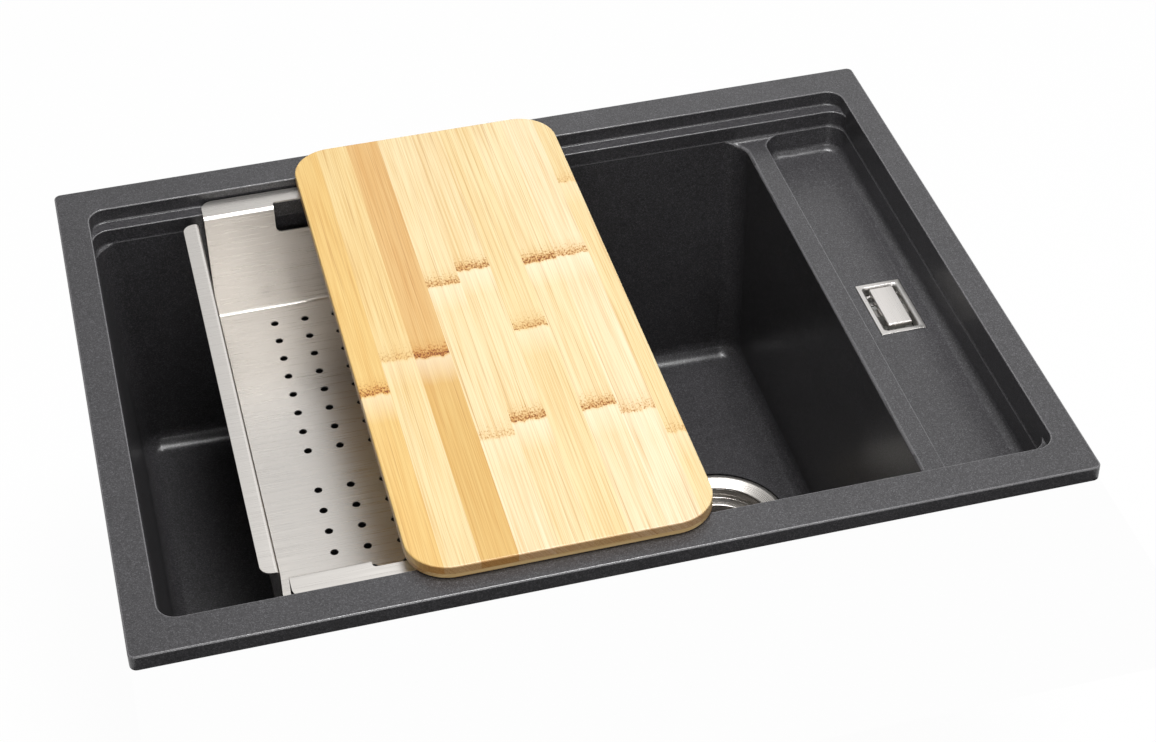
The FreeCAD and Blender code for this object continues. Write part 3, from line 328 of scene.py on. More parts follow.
def spunSteel(name, look):
    # steel dish brushed on a lathe: fine rings round the outlet, with soft light and dark between them
    material, tree, shader = newMaterial(name)
    shader.inputs["Metallic"].default_value = 1.0
    place = addNode(tree, "ShaderNodeTexCoord").outputs["Object"]
    centred = addNode(tree, "ShaderNodeMapping", {"Vector": place, "Location": (-drainX, 0, 0)})
    parts = addNode(tree, "ShaderNodeSeparateXYZ", {"Vector": centred.outputs[0]})
    flat = addNode(tree, "ShaderNodeCombineXYZ", {"X": parts.outputs["X"], "Y": parts.outputs["Y"]})
    radius = addNode(tree, "ShaderNodeVectorMath", {0: flat.outputs[0]}, operation="LENGTH")
    ringPlace = addNode(tree, "ShaderNodeCombineXYZ", {"X": radius.outputs["Value"], "Y": parts.outputs["Z"]})
    rings = addNode(tree, "ShaderNodeTexNoise", {"Vector": ringPlace.outputs[0], "Detail": 3.0,
                                                 "Scale": 1000 / look["lineMm"]}).outputs["Fac"]
    tone = fillRamp(addNode(tree, "ShaderNodeValToRGB", {"Fac": rings}),
                    [(0.3, tuple(c * 0.86 for c in toLinear(look["colour"])[:3]) + (1,)),
                     (0.7, toLinear(look["colour"]))])
    tree.links.new(tone.outputs["Color"], shader.inputs["Base Color"])
    rough = addNode(tree, "ShaderNodeMapRange", {"Value": rings, "From Min": 0.3, "From Max": 0.7,
                                                 "To Min": look["roughness"] - 0.04,
                                                 "To Max": look["roughness"] + 0.06})
    tree.links.new(rough.outputs["Result"], shader.inputs["Roughness"])
    bump = addNode(tree, "ShaderNodeBump", {"Height": rings, "Strength": 0.4,
                                            "Distance": look["depthMm"] * mm})
    tree.links.new(bump.outputs["Normal"], shader.inputs["Normal"])
    return material


def mouldedPlastic(name, colour, roughness, grainMm=0.6):
    # moulded plastic or rubber: even colour and the mould's spark-eroded grain, drawn coarser than it is
    material, tree, shader = newMaterial(name)
    place = addNode(tree, "ShaderNodeTexCoord").outputs["Object"]
    grain = addNode(tree, "ShaderNodeTexNoise", {"Vector": place, "Scale": 1000 / grainMm, "Detail": 2.0})
    tone = fillRamp(addNode(tree, "ShaderNodeValToRGB", {"Fac": grain.outputs["Fac"]}),
                    [(0.3, tuple(c * 0.9 for c in toLinear(colour)[:3]) + (1,)), (0.7, toLinear(colour))])
    tree.links.new(tone.outputs["Color"], shader.inputs["Base Color"])
    shader.inputs["Roughness"].default_value = roughness
    bump = addNode(tree, "ShaderNodeBump", {"Height": grain.outputs["Fac"], "Strength": 0.2,
                                            "Distance": 0.03 * mm})
    tree.links.new(bump.outputs["Normal"], shader.inputs["Normal"])
    return material


# the face's strips, from left to right: left edge in mm, tint behind and in front of the growth node,
# then each growth node: its place along the strip in mm and how strong it is; fibre bundles are nearer
# 0.4 mm wide and are drawn coarser, so that they stay apart in the picture
boardLook = {
    "strips": [(-145.0, "amber", "amber", (-54.0, 0.9), None),
               (-121.3, "honey", "flax", (-21.0, 0.5), None),
               (-98.0, "brown", "gold", (-24.0, 1.0), None),
               (-73.0, "straw", "cream", (-119.0, 0.5), (52.0, 0.8)),
               (-48.3, "straw", "straw", (-107.0, 0.95), (65.0, 0.9)),
               (-23.3, "flax", "flax", (-12.0, 0.75), None),
               (1.7, "straw", "cream", (-107.0, 0.9), (61.0, 1.0)),
               (26.3, "cream", "pearl", (-118.0, 0.6), (62.5, 0.8)),
               (50.7, "flax", "flax", (-145.0, 0.5), (151.7, 0.5))],
    "tints": {"pearl": "#f7e8c6", "cream": "#f6e5bf", "straw": "#f3e0b3", "flax": "#f1dcaa",
              "honey": "#efd59b", "gold": "#e0bb74", "amber": "#ebc983",
              "tan": "#e8cd98", "brown": "#e2bb7e"},
    "rightEdgeMm": 66.0, "fibreMm": 0.7, "fibreLengthMm": 110, "mottleMm": 5.0, "mottleLengthMm": 130,
    "fibreShade": "#dfbd82", "lineShade": "#c99a5c", "mottleShade": "#f1d8aa", "nodeShade": "#c99c56",
    "coreShade": "#a37e55", "washShade": "#eccb8c", "nodeWash": 0.55, "tongue": "#fdf3d9", "speckMm": 1.3,
    "speckSlant": 0.6, "endShade": "#cdb099", "roughness": 0.4, "crossStripMm": 24.0}


def bambooGrain(tree, colour, place, seed, look, along):
    # fibre bundles run the length of each strip: fine lines, a few darker ones, and broad soft streaks
    parts = addNode(tree, "ShaderNodeSeparateXYZ", {"Vector": place})
    across = "X" if along == "Y" else "Y"
    skewed = addNode(tree, "ShaderNodeMath", {0: parts.outputs["Z"], 1: 0.8, 2: parts.outputs[across]},
                     operation="MULTIPLY_ADD")
    layers = []
    for widthMm, lengthMm, low, high in ((look["fibreMm"], look["fibreLengthMm"], 0.44, 0.66),
                                         (look["fibreMm"] * 1.8, look["fibreLengthMm"] * 1.6, 0.58, 0.7),
                                         (look["mottleMm"], look["mottleLengthMm"], 0.4, 0.68)):
        wide = addNode(tree, "ShaderNodeMath", {0: skewed.outputs[0], 1: 1000 / widthMm},
                       operation="MULTIPLY")
        long = addNode(tree, "ShaderNodeMath", {0: parts.outputs[along], 1: 1000 / lengthMm},
                       operation="MULTIPLY")
        apart = addNode(tree, "ShaderNodeMath", {0: seed, 1: 37.0}, operation="MULTIPLY")
        where = addNode(tree, "ShaderNodeCombineXYZ", {"X": wide.outputs[0], "Y": long.outputs[0],
                                                       "Z": apart.outputs[0]})
        noise = addNode(tree, "ShaderNodeTexNoise", {"Vector": where.outputs[0], "Scale": 1.0, "Detail": 3.0,
                                                     "Roughness": 0.55})
        layers.append(addNode(tree, "ShaderNodeMapRange", {"Value": noise.outputs["Fac"], "From Min": low,
                                                           "From Max": high}).outputs["Result"])
    fine, dark, broad = layers
    for layer, shade, strength in ((broad, "mottleShade", 0.3), (fine, "fibreShade", 0.5),
                                   (dark, "lineShade", 0.45)):
        amount = addNode(tree, "ShaderNodeMath", {0: layer, 1: strength}, operation="MULTIPLY")
        colour = addNode(tree, "ShaderNodeMix", {"Factor": amount.outputs[0], 6: colour,
                                                 7: toLinear(look[shade])},
                         data_type="RGBA", blend_type="MULTIPLY").outputs[2]
    return colour, fine


def growthNodes(tree, colour, across, along, place, stops, look):
    # where a culm's joint was planed through: a wavy band of brown specks, close at its front edge and
    # thinning towards the back, with a pale tongue in front of it
    ramp = fillRamp(addNode(tree, "ShaderNodeValToRGB", {"Fac": across}), stops, "CONSTANT")
    level = addNode(tree, "ShaderNodeSeparateColor", {"Color": ramp.outputs["Color"]}).outputs["Red"]
    target = addNode(tree, "ShaderNodeMath", {0: level, 1: 0.5, 2: -0.25}, operation="MULTIPLY_ADD")
    away = addNode(tree, "ShaderNodeMath", {0: along, 1: target.outputs[0]}, operation="SUBTRACT")
    reachMm = (-36.0, 18.0)
    shift = addNode(tree, "ShaderNodeMapRange", {"Value": away.outputs[0], "From Min": reachMm[0] * mm,
                                                 "From Max": reachMm[1] * mm}).outputs["Result"]
    # distance from the node in mm, density of specks, paleness of the tongue
    band = [(-36.0, 0.0, 0.0), (-22.0, 0.0, 0.5), (-8.0, 0.0, 0.9), (-6.0, 0.1, 0.4), (-4.6, 0.95, 0.0),
            (-0.5, 0.85, 0.0), (3.0, 0.6, 0.0), (8.0, 0.3, 0.0), (17.0, 0.0, 0.0)]
    span = reachMm[1] - reachMm[0]
    profile = fillRamp(addNode(tree, "ShaderNodeValToRGB", {"Fac": shift}),
                       [((d - reachMm[0]) / span, (ink, pale, 0.0, 1.0)) for d, ink, pale in band])
    split = addNode(tree, "ShaderNodeSeparateColor", {"Color": profile.outputs["Color"]})
    density = addNode(tree, "ShaderNodeMath", {0: split.outputs["Red"], 1: ramp.outputs["Alpha"]},
                      operation="MULTIPLY")
    pale = addNode(tree, "ShaderNodeMath", {0: split.outputs["Green"], 1: ramp.outputs["Alpha"]},
                   operation="MULTIPLY")
    tongue = addNode(tree, "ShaderNodeMath", {0: pale.outputs[0], 1: 0.5}, operation="MULTIPLY")
    lit = addNode(tree, "ShaderNodeMix", {"Factor": tongue.outputs[0], 6: colour,
                                          7: toLinear(look["tongue"])}, data_type="RGBA")
    # the specks are bundle ends cut at a slant, so they are longer along the strip than across
    drawn = addNode(tree, "ShaderNodeMapping", {"Vector": place, "Scale": (1.0, look["speckSlant"], 1.0)})
    dots = addNode(tree, "ShaderNodeTexNoise", {"Vector": drawn.outputs[0], "Scale": 1000 / look["speckMm"],
                                                "Detail": 1.5})
    spread = addNode(tree, "ShaderNodeMapRange", {"Value": dots.outputs["Fac"], "From Min": 0.32,
                                                  "From Max": 0.68, "To Min": -1.0, "To Max": 0.0})
    ink = addNode(tree, "ShaderNodeMath", {0: density.outputs[0], 1: 1.15, 2: spread.outputs["Result"]},
                  operation="MULTIPLY_ADD")
    wash = addNode(tree, "ShaderNodeMath", {0: density.outputs[0], 1: look["nodeWash"]},
                   operation="MULTIPLY")
    mark = addNode(tree, "ShaderNodeMapRange", {"Value": ink.outputs[0], "From Max": 0.7})
    core = addNode(tree, "ShaderNodeMapRange", {"Value": ink.outputs[0], "From Min": 0.5, "From Max": 1.0})
    colour = lit.outputs[2]
    for amount, shade in ((wash.outputs[0], "washShade"), (mark.outputs["Result"], "nodeShade"),
                          (core.outputs["Result"], "coreShade")):
        colour = addNode(tree, "ShaderNodeMix", {"Factor": amount, 6: colour, 7: toLinear(look[shade])},
                         data_type="RGBA", blend_type="MULTIPLY").outputs[2]
    return colour


def finishWood(material, tree, shader, colour, fibres, look):
    tree.links.new(colour, shader.inputs["Base Color"])
    shader.inputs["Roughness"].default_value = look["roughness"]
    shader.inputs["Coat Weight"].default_value = 0.05
    shader.inputs["Coat Roughness"].default_value = 0.35
    bump = addNode(tree, "ShaderNodeBump", {"Height": fibres, "Strength": 0.2, "Distance": 0.04 * mm},
                   invert=True)
    tree.links.new(bump.outputs["Normal"], shader.inputs["Normal"])
    return material


def endOn(tree, colour, place, look, axis, amount):
    # cut ends show the bundles as dark dots in a browner ground
    facing = addNode(tree, "ShaderNodeSeparateXYZ",
                     {"Vector": addNode(tree, "ShaderNodeNewGeometry").outputs["True Normal"]})
    turned = addNode(tree, "ShaderNodeMath", {0: facing.outputs[axis]}, operation="ABSOLUTE")
    dots = addNode(tree, "ShaderNodeTexNoise", {"Vector": place, "Scale": 1000 / look["fibreMm"],
                                                "Detail": 2.0})
    spotted = addNode(tree, "ShaderNodeMapRange", {"Value": dots.outputs["Fac"], "From Min": 0.35,
                                                   "From Max": 0.6, "To Min": 1.0, "To Max": 0.7})
    mask = addNode(tree, "ShaderNodeMapRange", {"Value": turned.outputs[0], "From Min": 0.45,
                                                "From Max": 0.8, "To Max": amount})
    share = addNode(tree, "ShaderNodeMath", {0: mask.outputs["Result"], 1: spotted.outputs["Result"]},
                    operation="MULTIPLY")
    return addNode(tree, "ShaderNodeMix", {"Factor": share.outputs[0], 6: colour,
                                           7: toLinear(look["endShade"])},
                   data_type="RGBA", blend_type="MULTIPLY").outputs[2]


def bambooTopPly(name, look):
    # strips of steamed bamboo glued edge to edge, sanded and oiled: each strip has its own tone, which
    # changes at its growth node
    material, tree, shader = newMaterial(name)
    place = addNode(tree, "ShaderNodeTexCoord").outputs["Object"]
    parts = addNode(tree, "ShaderNodeSeparateXYZ", {"Vector": place})
    strips = look["strips"]
    left, right = strips[0][0], look["rightEdgeMm"]
    across = addNode(tree, "ShaderNodeMapRange", {"Value": parts.outputs["X"], "From Min": left * mm,
                                                  "From Max": right * mm}).outputs["Result"]
    positions = [(strip[0] - left) / (right - left) for strip in strips]
    tones = []
    for side in (1, 2):
        stops = []
        for index, strip in enumerate(strips):
            seed = index / len(strips)
            stops.append((positions[index], toLinear(look["tints"][strip[side]])[:3] + (seed,)))
        tones.append(fillRamp(addNode(tree, "ShaderNodeValToRGB", {"Fac": across}), stops, "CONSTANT"))
    wobble = addNode(tree, "ShaderNodeTexNoise", {"W": parts.outputs["X"], "Scale": 120.0, "Detail": 4.0,
                                                  "Roughness": 0.6}, noise_dimensions="1D")
    shift = addNode(tree, "ShaderNodeMath", {0: wobble.outputs["Fac"], 1: 9 * mm, 2: -4.5 * mm},
                    operation="MULTIPLY_ADD")
    along = addNode(tree, "ShaderNodeMath", {0: parts.outputs["Y"], 1: shift.outputs[0]},
                    operation="ADD").outputs[0]
    placeStops = []
    for which in (3, 4):
        stops = []
        for position, strip in zip(positions, strips):
            nodeAt, strength = strip[which] or (240.0, 0.0)
            stops.append((position, (nodeAt / 500 + 0.5,) * 3 + (strength,)))
        placeStops.append(stops)
    firstNode = fillRamp(addNode(tree, "ShaderNodeValToRGB", {"Fac": across}), placeStops[0], "CONSTANT")
    firstSplit = addNode(tree, "ShaderNodeSeparateColor", {"Color": firstNode.outputs["Color"]})
    firstLevel = firstSplit.outputs["Red"]
    firstAt = addNode(tree, "ShaderNodeMath", {0: firstLevel, 1: 0.5, 2: -0.25}, operation="MULTIPLY_ADD")
    behind = addNode(tree, "ShaderNodeMath", {0: along, 1: firstAt.outputs[0]}, operation="SUBTRACT")
    toBack = addNode(tree, "ShaderNodeMapRange", {"Value": behind.outputs[0], "From Min": -90 * mm,
                                                  "From Max": 60 * mm}, interpolation_type="SMOOTHSTEP")
    base = addNode(tree, "ShaderNodeMix", {"Factor": toBack.outputs["Result"], 6: tones[1].outputs["Color"],
                                           7: tones[0].outputs["Color"]}, data_type="RGBA")
    colour, fibres = bambooGrain(tree, base.outputs[2], place, tones[0].outputs["Alpha"], look, "Y")
    for stops in placeStops:
        colour = growthNodes(tree, colour, across, along, place, stops, look)
    colour = endOn(tree, colour, place, look, "Y", 1.0)
    return finishWood(material, tree, shader, colour, fibres, look)


def bambooCrossPly(name, look):
    # the lower layer's strips lie across the board, so its ends show long grain
    material, tree, shader = newMaterial(name)
    place = addNode(tree, "ShaderNodeTexCoord").outputs["Object"]
    parts = addNode(tree, "ShaderNodeSeparateXYZ", {"Vector": place})
    count = addNode(tree, "ShaderNodeMath", {0: parts.outputs["Y"], 1: 1000 / look["crossStripMm"]},
                    operation="MULTIPLY")
    strip = addNode(tree, "ShaderNodeMath", {0: count.outputs[0]}, operation="FLOOR")
    chance = addNode(tree, "ShaderNodeTexWhiteNoise", {"W": strip.outputs[0]}, noise_dimensions="1D")
    names = ("honey", "tan", "straw", "brown", "honey", "cream")
    tones = fillRamp(addNode(tree, "ShaderNodeValToRGB", {"Fac": chance.outputs["Value"]}),
                     [(i / len(names), toLinear(look["tints"][tint])) for i, tint in enumerate(names)],
                     "CONSTANT")
    colour, fibres = bambooGrain(tree, tones.outputs["Color"], place, chance.outputs["Value"], look, "X")
    colour = endOn(tree, colour, place, look, "X", 1.0)
    return finishWood(material, tree, shader, colour, fibres, look)


composite = quartzComposite("quartzCompositeMoulded", compositeLook)
traySteel = brushedSteel("stainlessBrushed", steelLook)
coverSteel = brushedSteel("stainlessBrushedCover", dict(steelLook, colour="#e4e0dc"), "Y")
frameSteel = plainMetal("stainlessSatin", "#cfccc9", 0.3)
wasteSteel = spunSteel("stainlessSpun", spunLook)
screwSteel = plainMetal("stainlessTurned", "#c9c6c2", 0.24)
polishedSteel = plainMetal("stainlessPolished", "#dcdad8", 0.12)
zincSteel = plainMetal("steelZincPlated", "#b9bcc0", 0.35)
turnedBrass = plainMetal("brassTurned", "#c9a35a", 0.28)
sealRubber = mouldedPlastic("nitrileRubberMoulded", "#1a1a1b", 0.7)
padSilicone = mouldedPlastic("siliconeMoulded", "#8b8b8b", 0.55)
padPlastic = mouldedPlastic("polyamideMoulded", "#232324", 0.5)
wastePlastic = mouldedPlastic("polypropyleneMoulded", "#dededb", 0.42)
hosePlastic = mouldedPlastic("polyetheneBlown", "#c8c8c6", 0.38)
bambooTop = bambooTopPly("bambooStripsOiled", boardLook)
bambooBottom = bambooCrossPly("bambooCrossStripsOiled", boardLook)
print("materials made:", len(bpy.data.materials))


# the roundings marked here carry the composite's painted highlight
arrisLook = {"tightestMm": 2.2, "widestMm": 5.0}
weldedCopy("sink_body", "sinkBody", "sink", composite,
           rework=lambda shape: markArrises(shape, arrisLook))

# pieces that keep the solid's own shape
pieceTable = [
    # node, body, slot, material
    ("rim_seal", "sink", "seal_rubber", sealRubber),
    ("clamp_anchors", "sink", "anchor_brass", turnedBrass),
    ("clamp_brackets", "sink", "zinc_steel", zincSteel),
    ("anchor_screws", "sink", "zinc_steel", zincSteel),
    ("clamp_screws", "sink", "zinc_steel", zincSteel),
    ("clamp_pads", "sink", "pad_plastic", padPlastic),
    ("flange_seal", "sink", "seal_rubber", sealRubber),
    ("body_seal", "sink", "seal_rubber", sealRubber),
    ("waste_body", "sink", "waste_plastic", wastePlastic),
    ("waste_insert", "sink", "anchor_brass", turnedBrass),
    ("waste_screw", "sink", "waste_steel", screwSteel),
    ("basket_seal", "strainer", "seal_rubber", sealRubber),
    ("basket_knob", "strainer", "knob_chrome", polishedSteel),
    ("overflow_seal", "sink", "seal_rubber", sealRubber),
    ("overflow_body", "sink", "waste_plastic", wastePlastic),
    ("overflow_screw", "sink", "waste_steel", screwSteel),
    ("hose_seals", "sink", "seal_rubber", sealRubber),
    ("hose_nuts", "sink", "waste_plastic", wastePlastic),
    ("colander_tray", "tray", "tray_steel", traySteel),
    ("tray_pads", "tray", "pad_silicone", padSilicone),
    ("board_top_ply", "board", "bamboo_top", bambooTop),
    ("board_bottom_ply", "board", "bamboo_bottom", bambooBottom),
]

for nodeName, body, slot, material in pieceTable:
    words = nodeName.split("_")
    pieceName = words[0] + "".join(word.capitalize() for word in words[1:])
    weldedCopy(nodeName, pieceName, body, material)
print("pieces with the solids' own shape:", len(pieceTable) + 1)


# the waste's pressed dish and the strainer, their circular edges eased as pressing leaves them:
# radius, height from the piece's top and size of each rounding in mm
wasteLook = {"rimEdge": (53.5, 0.0, 0.8), "cone": (43.5, -3.0, 1.3), "seatFoot": (43.5, -12.5, 0.8),
             "seatEdge": (36.0, -12.5, 0.8),
             "basketLip": (33.0, 0.0, 1.3), "basketEdge": (41.0, 0.0, 0.4), "mostAcross": 0.08}
flangeTopMm = flangeHigh.z / mm
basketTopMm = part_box("strainer_basket")[1].z / mm


def dressDish(shape):
    rings = [(radius, flangeTopMm + drop, ease) for radius, drop, ease in
             (wasteLook[edge] for edge in ("rimEdge", "cone", "seatFoot", "seatEdge"))]
    roundRings(shape, rings, drainX)


def dressBasket(shape):
    rings = [(radius, basketTopMm + drop, ease) for radius, drop, ease in
             (wasteLook[edge] for edge in ("basketLip", "basketEdge"))]
    roundRings(shape, rings, drainX)


dish = weldedCopy("waste_flange", "wasteFlange", "sink", wasteSteel, rework=dressDish)
basket = weldedCopy("strainer_basket", "strainerBasket", "strainer", wasteSteel,
                    rework=dressBasket)
for piece in (dish, basket):
    turnNormals(piece, drainX, wasteLook["mostAcross"])
print("waste made")


def firstRing(shape, centre, height, width, length, radius):
    # a level ring of edges in mm: a rectangle with rounded corners, whose points know their corner
    # and which way they face from its middle
    knownVerts, knownFaces = set(shape.verts), set(shape.faces)
    verts = bmesh.ops.create_grid(shape, x_segments=1, y_segments=1, size=0.5)["verts"]
    bmesh.ops.scale(shape, verts=verts, vec=(width * mm, length * mm, 1))
    bmesh.ops.translate(shape, verts=verts, vec=(centre.x, centre.y, height))
    bmesh.ops.bevel(shape, geom=verts, offset=radius * mm, offset_type="OFFSET", segments=6, profile=0.5,
                    affect="VERTICES", material=-1)
    bmesh.ops.delete(shape, geom=[f for f in shape.faces if f not in knownFaces], context="FACES_ONLY")
    corner, facing = (shape.verts.layers.float_vector.get(name) or shape.verts.layers.float_vector.new(name)
                      for name in ("corner", "facing"))
    made = [vert for vert in shape.verts if vert not in knownVerts]
    for vert in made:
        place = (vert.co - Vector((centre.x, centre.y, height))) / mm
        side = Vector((math.copysign(1, place.x), math.copysign(1, place.y), 0))
        pivot = Vector((side.x * (width / 2 - radius), side.y * (length / 2 - radius), 0))
        vert[corner] = side
        vert[facing] = (place - pivot) / radius
    return list({edge for vert in made for edge in vert.link_edges})


def drawOut(shape, sections, centre, top, closed):
    # a shell through rounded rectangles: width, length, corner radius, height from the top in mm
    width, length, radius, drop = sections[0]
    ring = firstRing(shape, centre, top + drop * mm, width, length, radius)
    corner, facing = (shape.verts.layers.float_vector[name] for name in ("corner", "facing"))
    if not closed:
        bmesh.ops.edgeloop_fill(shape, edges=ring)
    for width, length, radius, drop in sections[1:] + (sections[:1] if closed else []):
        drawn = bmesh.ops.extrude_edge_only(shape, edges=ring)["geom"]
        ring = [item for item in drawn if isinstance(item, bmesh.types.BMEdge)]
        for vert in {vert for edge in ring for vert in edge.verts}:
            side, turn = vert[corner], vert[facing]
            vert.co = (centre.x + (side.x * (width / 2 - radius) + turn.x * radius) * mm,
                       centre.y + (side.y * (length / 2 - radius) + turn.y * radius) * mm, top + drop * mm)
    if not closed:
        bmesh.ops.edgeloop_fill(shape, edges=ring)


def addBlock(shape, size, centre, ease):
    # a plain bar in mm with eased edges
    made = bmesh.ops.create_cube(shape, size=1.0)["verts"]
    bmesh.ops.scale(shape, verts=made, vec=[s * mm for s in size])
    bmesh.ops.translate(shape, verts=made, vec=centre)
    edges = list({edge for vert in made for edge in vert.link_edges})
    bmesh.ops.bevel(shape, geom=edges, offset=ease * mm, offset_type="OFFSET", segments=2, profile=0.5,
                    affect="EDGES", material=-1)


# the overflow's frame: satin plate whose window is rolled inwards, with cross bars below it
frameLow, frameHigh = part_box("overflow_frame")
overflowAt = (frameLow + frameHigh) / 2
frameLook = {
    # width, length, corner radius, height from the frame's top
    "sections": [(35.0, 60.0, 1.0, -1.5), (35.0, 60.0, 1.0, -0.45), (34.7, 59.7, 0.9, -0.12),
                 (34.2, 59.2, 0.8, 0.0), (28.8, 53.8, 3.6, 0.0), (27.6, 52.6, 3.4, -0.25),
                 (26.4, 51.4, 3.2, -0.85), (25.5, 50.5, 3.0, -1.7), (25.0, 50.0, 2.8, -2.8),
                 (25.0, 50.0, 2.8, -7.0), (27.4, 52.4, 3.4, -7.0), (27.4, 52.4, 3.4, -1.5)],
    "barTop": -4.5, "barDepth": 1.5, "barWidth": 2.4, "barPlaces": (20.0, 11.0), "barReach": 25.6,
    "centreBar": 8.0, "screwHole": 5.2, "ease": 0.25}
shape = bmesh.new()
drawOut(shape, frameLook["sections"], overflowAt, frameHigh.z, True)
barMiddle = frameHigh.z + (frameLook["barTop"] - frameLook["barDepth"] / 2) * mm
for y in frameLook["barPlaces"]:
    addBlock(shape, (frameLook["barReach"], frameLook["barWidth"], frameLook["barDepth"]),
             (overflowAt.x, y * mm, barMiddle), frameLook["ease"])
hole, barDeep = frameLook["screwHole"], frameLook["barTop"] - frameLook["barDepth"]
drawOut(shape, [(frameLook["barReach"], frameLook["centreBar"], 0.3, frameLook["barTop"]),
                (hole, hole, hole * 0.49, frameLook["barTop"]), (hole, hole, hole * 0.49, barDeep),
                (frameLook["barReach"], frameLook["centreBar"], 0.3, barDeep)], overflowAt, frameHigh.z, True)
newPiece("overflowFrame", shape, "sink", frameSteel, ("overflow_frame",))

# the loose cover: a plate folded down all round, on two legs that grip the centre bar
coverLow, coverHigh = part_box("overflow_cover")
coverAt = (coverLow + coverHigh) / 2
coverLook = {
    "sections": [(17.2, 42.2, 1.0, 0.0), (18.1, 43.1, 1.3, -0.1), (18.7, 43.7, 1.5, -0.4),
                 (19.0, 44.0, 1.6, -0.9), (19.0, 44.0, 1.6, -3.6), (18.8, 43.8, 1.5, -3.8),
                 (17.6, 42.6, 0.9, -3.8), (17.4, 42.4, 0.8, -3.6), (17.4, 42.4, 0.8, -0.9)],
    "legWidth": 10.0, "legSheet": 1.2, "legAt": 4.7, "ease": 0.2}
shape = bmesh.new()
drawOut(shape, coverLook["sections"], coverAt, coverHigh.z, False)
legTop = coverHigh.z - 0.9 * mm
for side in (-1, 1):
    addBlock(shape, (coverLook["legWidth"], coverLook["legSheet"], (legTop - coverLow.z) / mm),
             (coverAt.x, side * coverLook["legAt"] * mm, (legTop + coverLow.z) / 2), coverLook["ease"])
newPiece("overflowCover", shape, "cover", coverSteel, ("overflow_cover",))
print("overflow made")


# the ribbed hose: turned straight with its bore, then led along its way from the cup to the funnel
hoseLook = {
    "crest": 12.6, "root": 10.6, "bore": 9.0, "cuff": 26.0, "ribs": 36, "sides": 40, "boreSteps": 40,
    # share of a rib's length, share of its height
    "ribShape": [(0.0, 0.15), (0.07, 0.0), (0.24, 0.0), (0.32, 0.15), (0.42, 0.85), (0.5, 1.0), (0.72, 1.0),
                 (0.82, 0.85)],
    "start": (199.14, -269.17), "startAngle": 30.0, "funnelX": 270.5, "funnelZ": -80.5}


def hoseWay(look):
    # straight out of the cup's branch, one bend as wide as the room allows, straight up to the funnel
    angle = math.radians(look["startAngle"])
    startX, startZ = look["start"]
    bendX, bendZ = startX + look["cuff"] * math.cos(angle), startZ + look["cuff"] * math.sin(angle)
    radius = (look["funnelX"] - bendX) / (1 - math.sin(angle))
    middleX, middleZ = look["funnelX"] - radius, bendZ + radius * math.cos(angle)
    bend = radius * (math.pi / 2 - angle)
    whole = look["cuff"] + bend + look["funnelZ"] - middleZ

    def at(distance):
        if distance <= look["cuff"]:
            return startX + distance * math.cos(angle), startZ + distance * math.sin(angle), angle
        if distance < look["cuff"] + bend:
            heading = angle + (distance - look["cuff"]) / radius
            return middleX + radius * math.sin(heading), middleZ - radius * math.cos(heading), heading
        return look["funnelX"], middleZ + distance - look["cuff"] - bend, math.pi / 2

    return at, whole


wayAt, hoseLength = hoseWay(hoseLook)
ribbed = hoseLength - 2 * hoseLook["cuff"]
outline = [(0.0, hoseLook["bore"]), (0.0, hoseLook["crest"] - 0.3), (0.3, hoseLook["crest"])]
for rib in range(hoseLook["ribs"]):
    for along, rise in hoseLook["ribShape"]:
        outline.append((hoseLook["cuff"] + (rib + along) * ribbed / hoseLook["ribs"],
                        hoseLook["root"] + rise * (hoseLook["crest"] - hoseLook["root"])))
outline += [(hoseLook["cuff"] + ribbed, hoseLook["crest"]), (hoseLength - 0.3, hoseLook["crest"]),
            (hoseLength, hoseLook["crest"] - 0.3)]
outline += [(hoseLength * (1 - step / hoseLook["boreSteps"]), hoseLook["bore"])
            for step in range(hoseLook["boreSteps"])]
shape = bmesh.new()
points = [shape.verts.new((distance * mm, 0.0, radius * mm)) for distance, radius in outline]
edges = [shape.edges.new((start, end)) for start, end in zip(points, points[1:] + points[:1])]
bmesh.ops.spin(shape, geom=points + edges, cent=(0, 0, 0), axis=(1, 0, 0), angle=2 * math.pi,
               steps=hoseLook["sides"], use_merge=True)
for vert in shape.verts:
    x, z, heading = wayAt(vert.co.x / mm)
    vert.co = Vector(((x - math.sin(heading) * vert.co.z / mm) * mm, vert.co.y,
                      (z + math.cos(heading) * vert.co.z / mm) * mm))
newPiece("overflowHose", shape, "sink", hosePlastic, ("overflow_hose",), 50)
print("hose made, length in mm:", round(hoseLength, 1))


stageLook = {"floorSide": 8.0, "floorColour": "#ffffff", "ownWhite": 0.97, "cardOwn": 0.982,
             "cardGloss": 0.05,
             "cardColour": "#4a4a4a", "cardReach": 0.165, "cardUnder": 0.012, "cardSink": 0.0004,
             "floorGap": 0.0005}


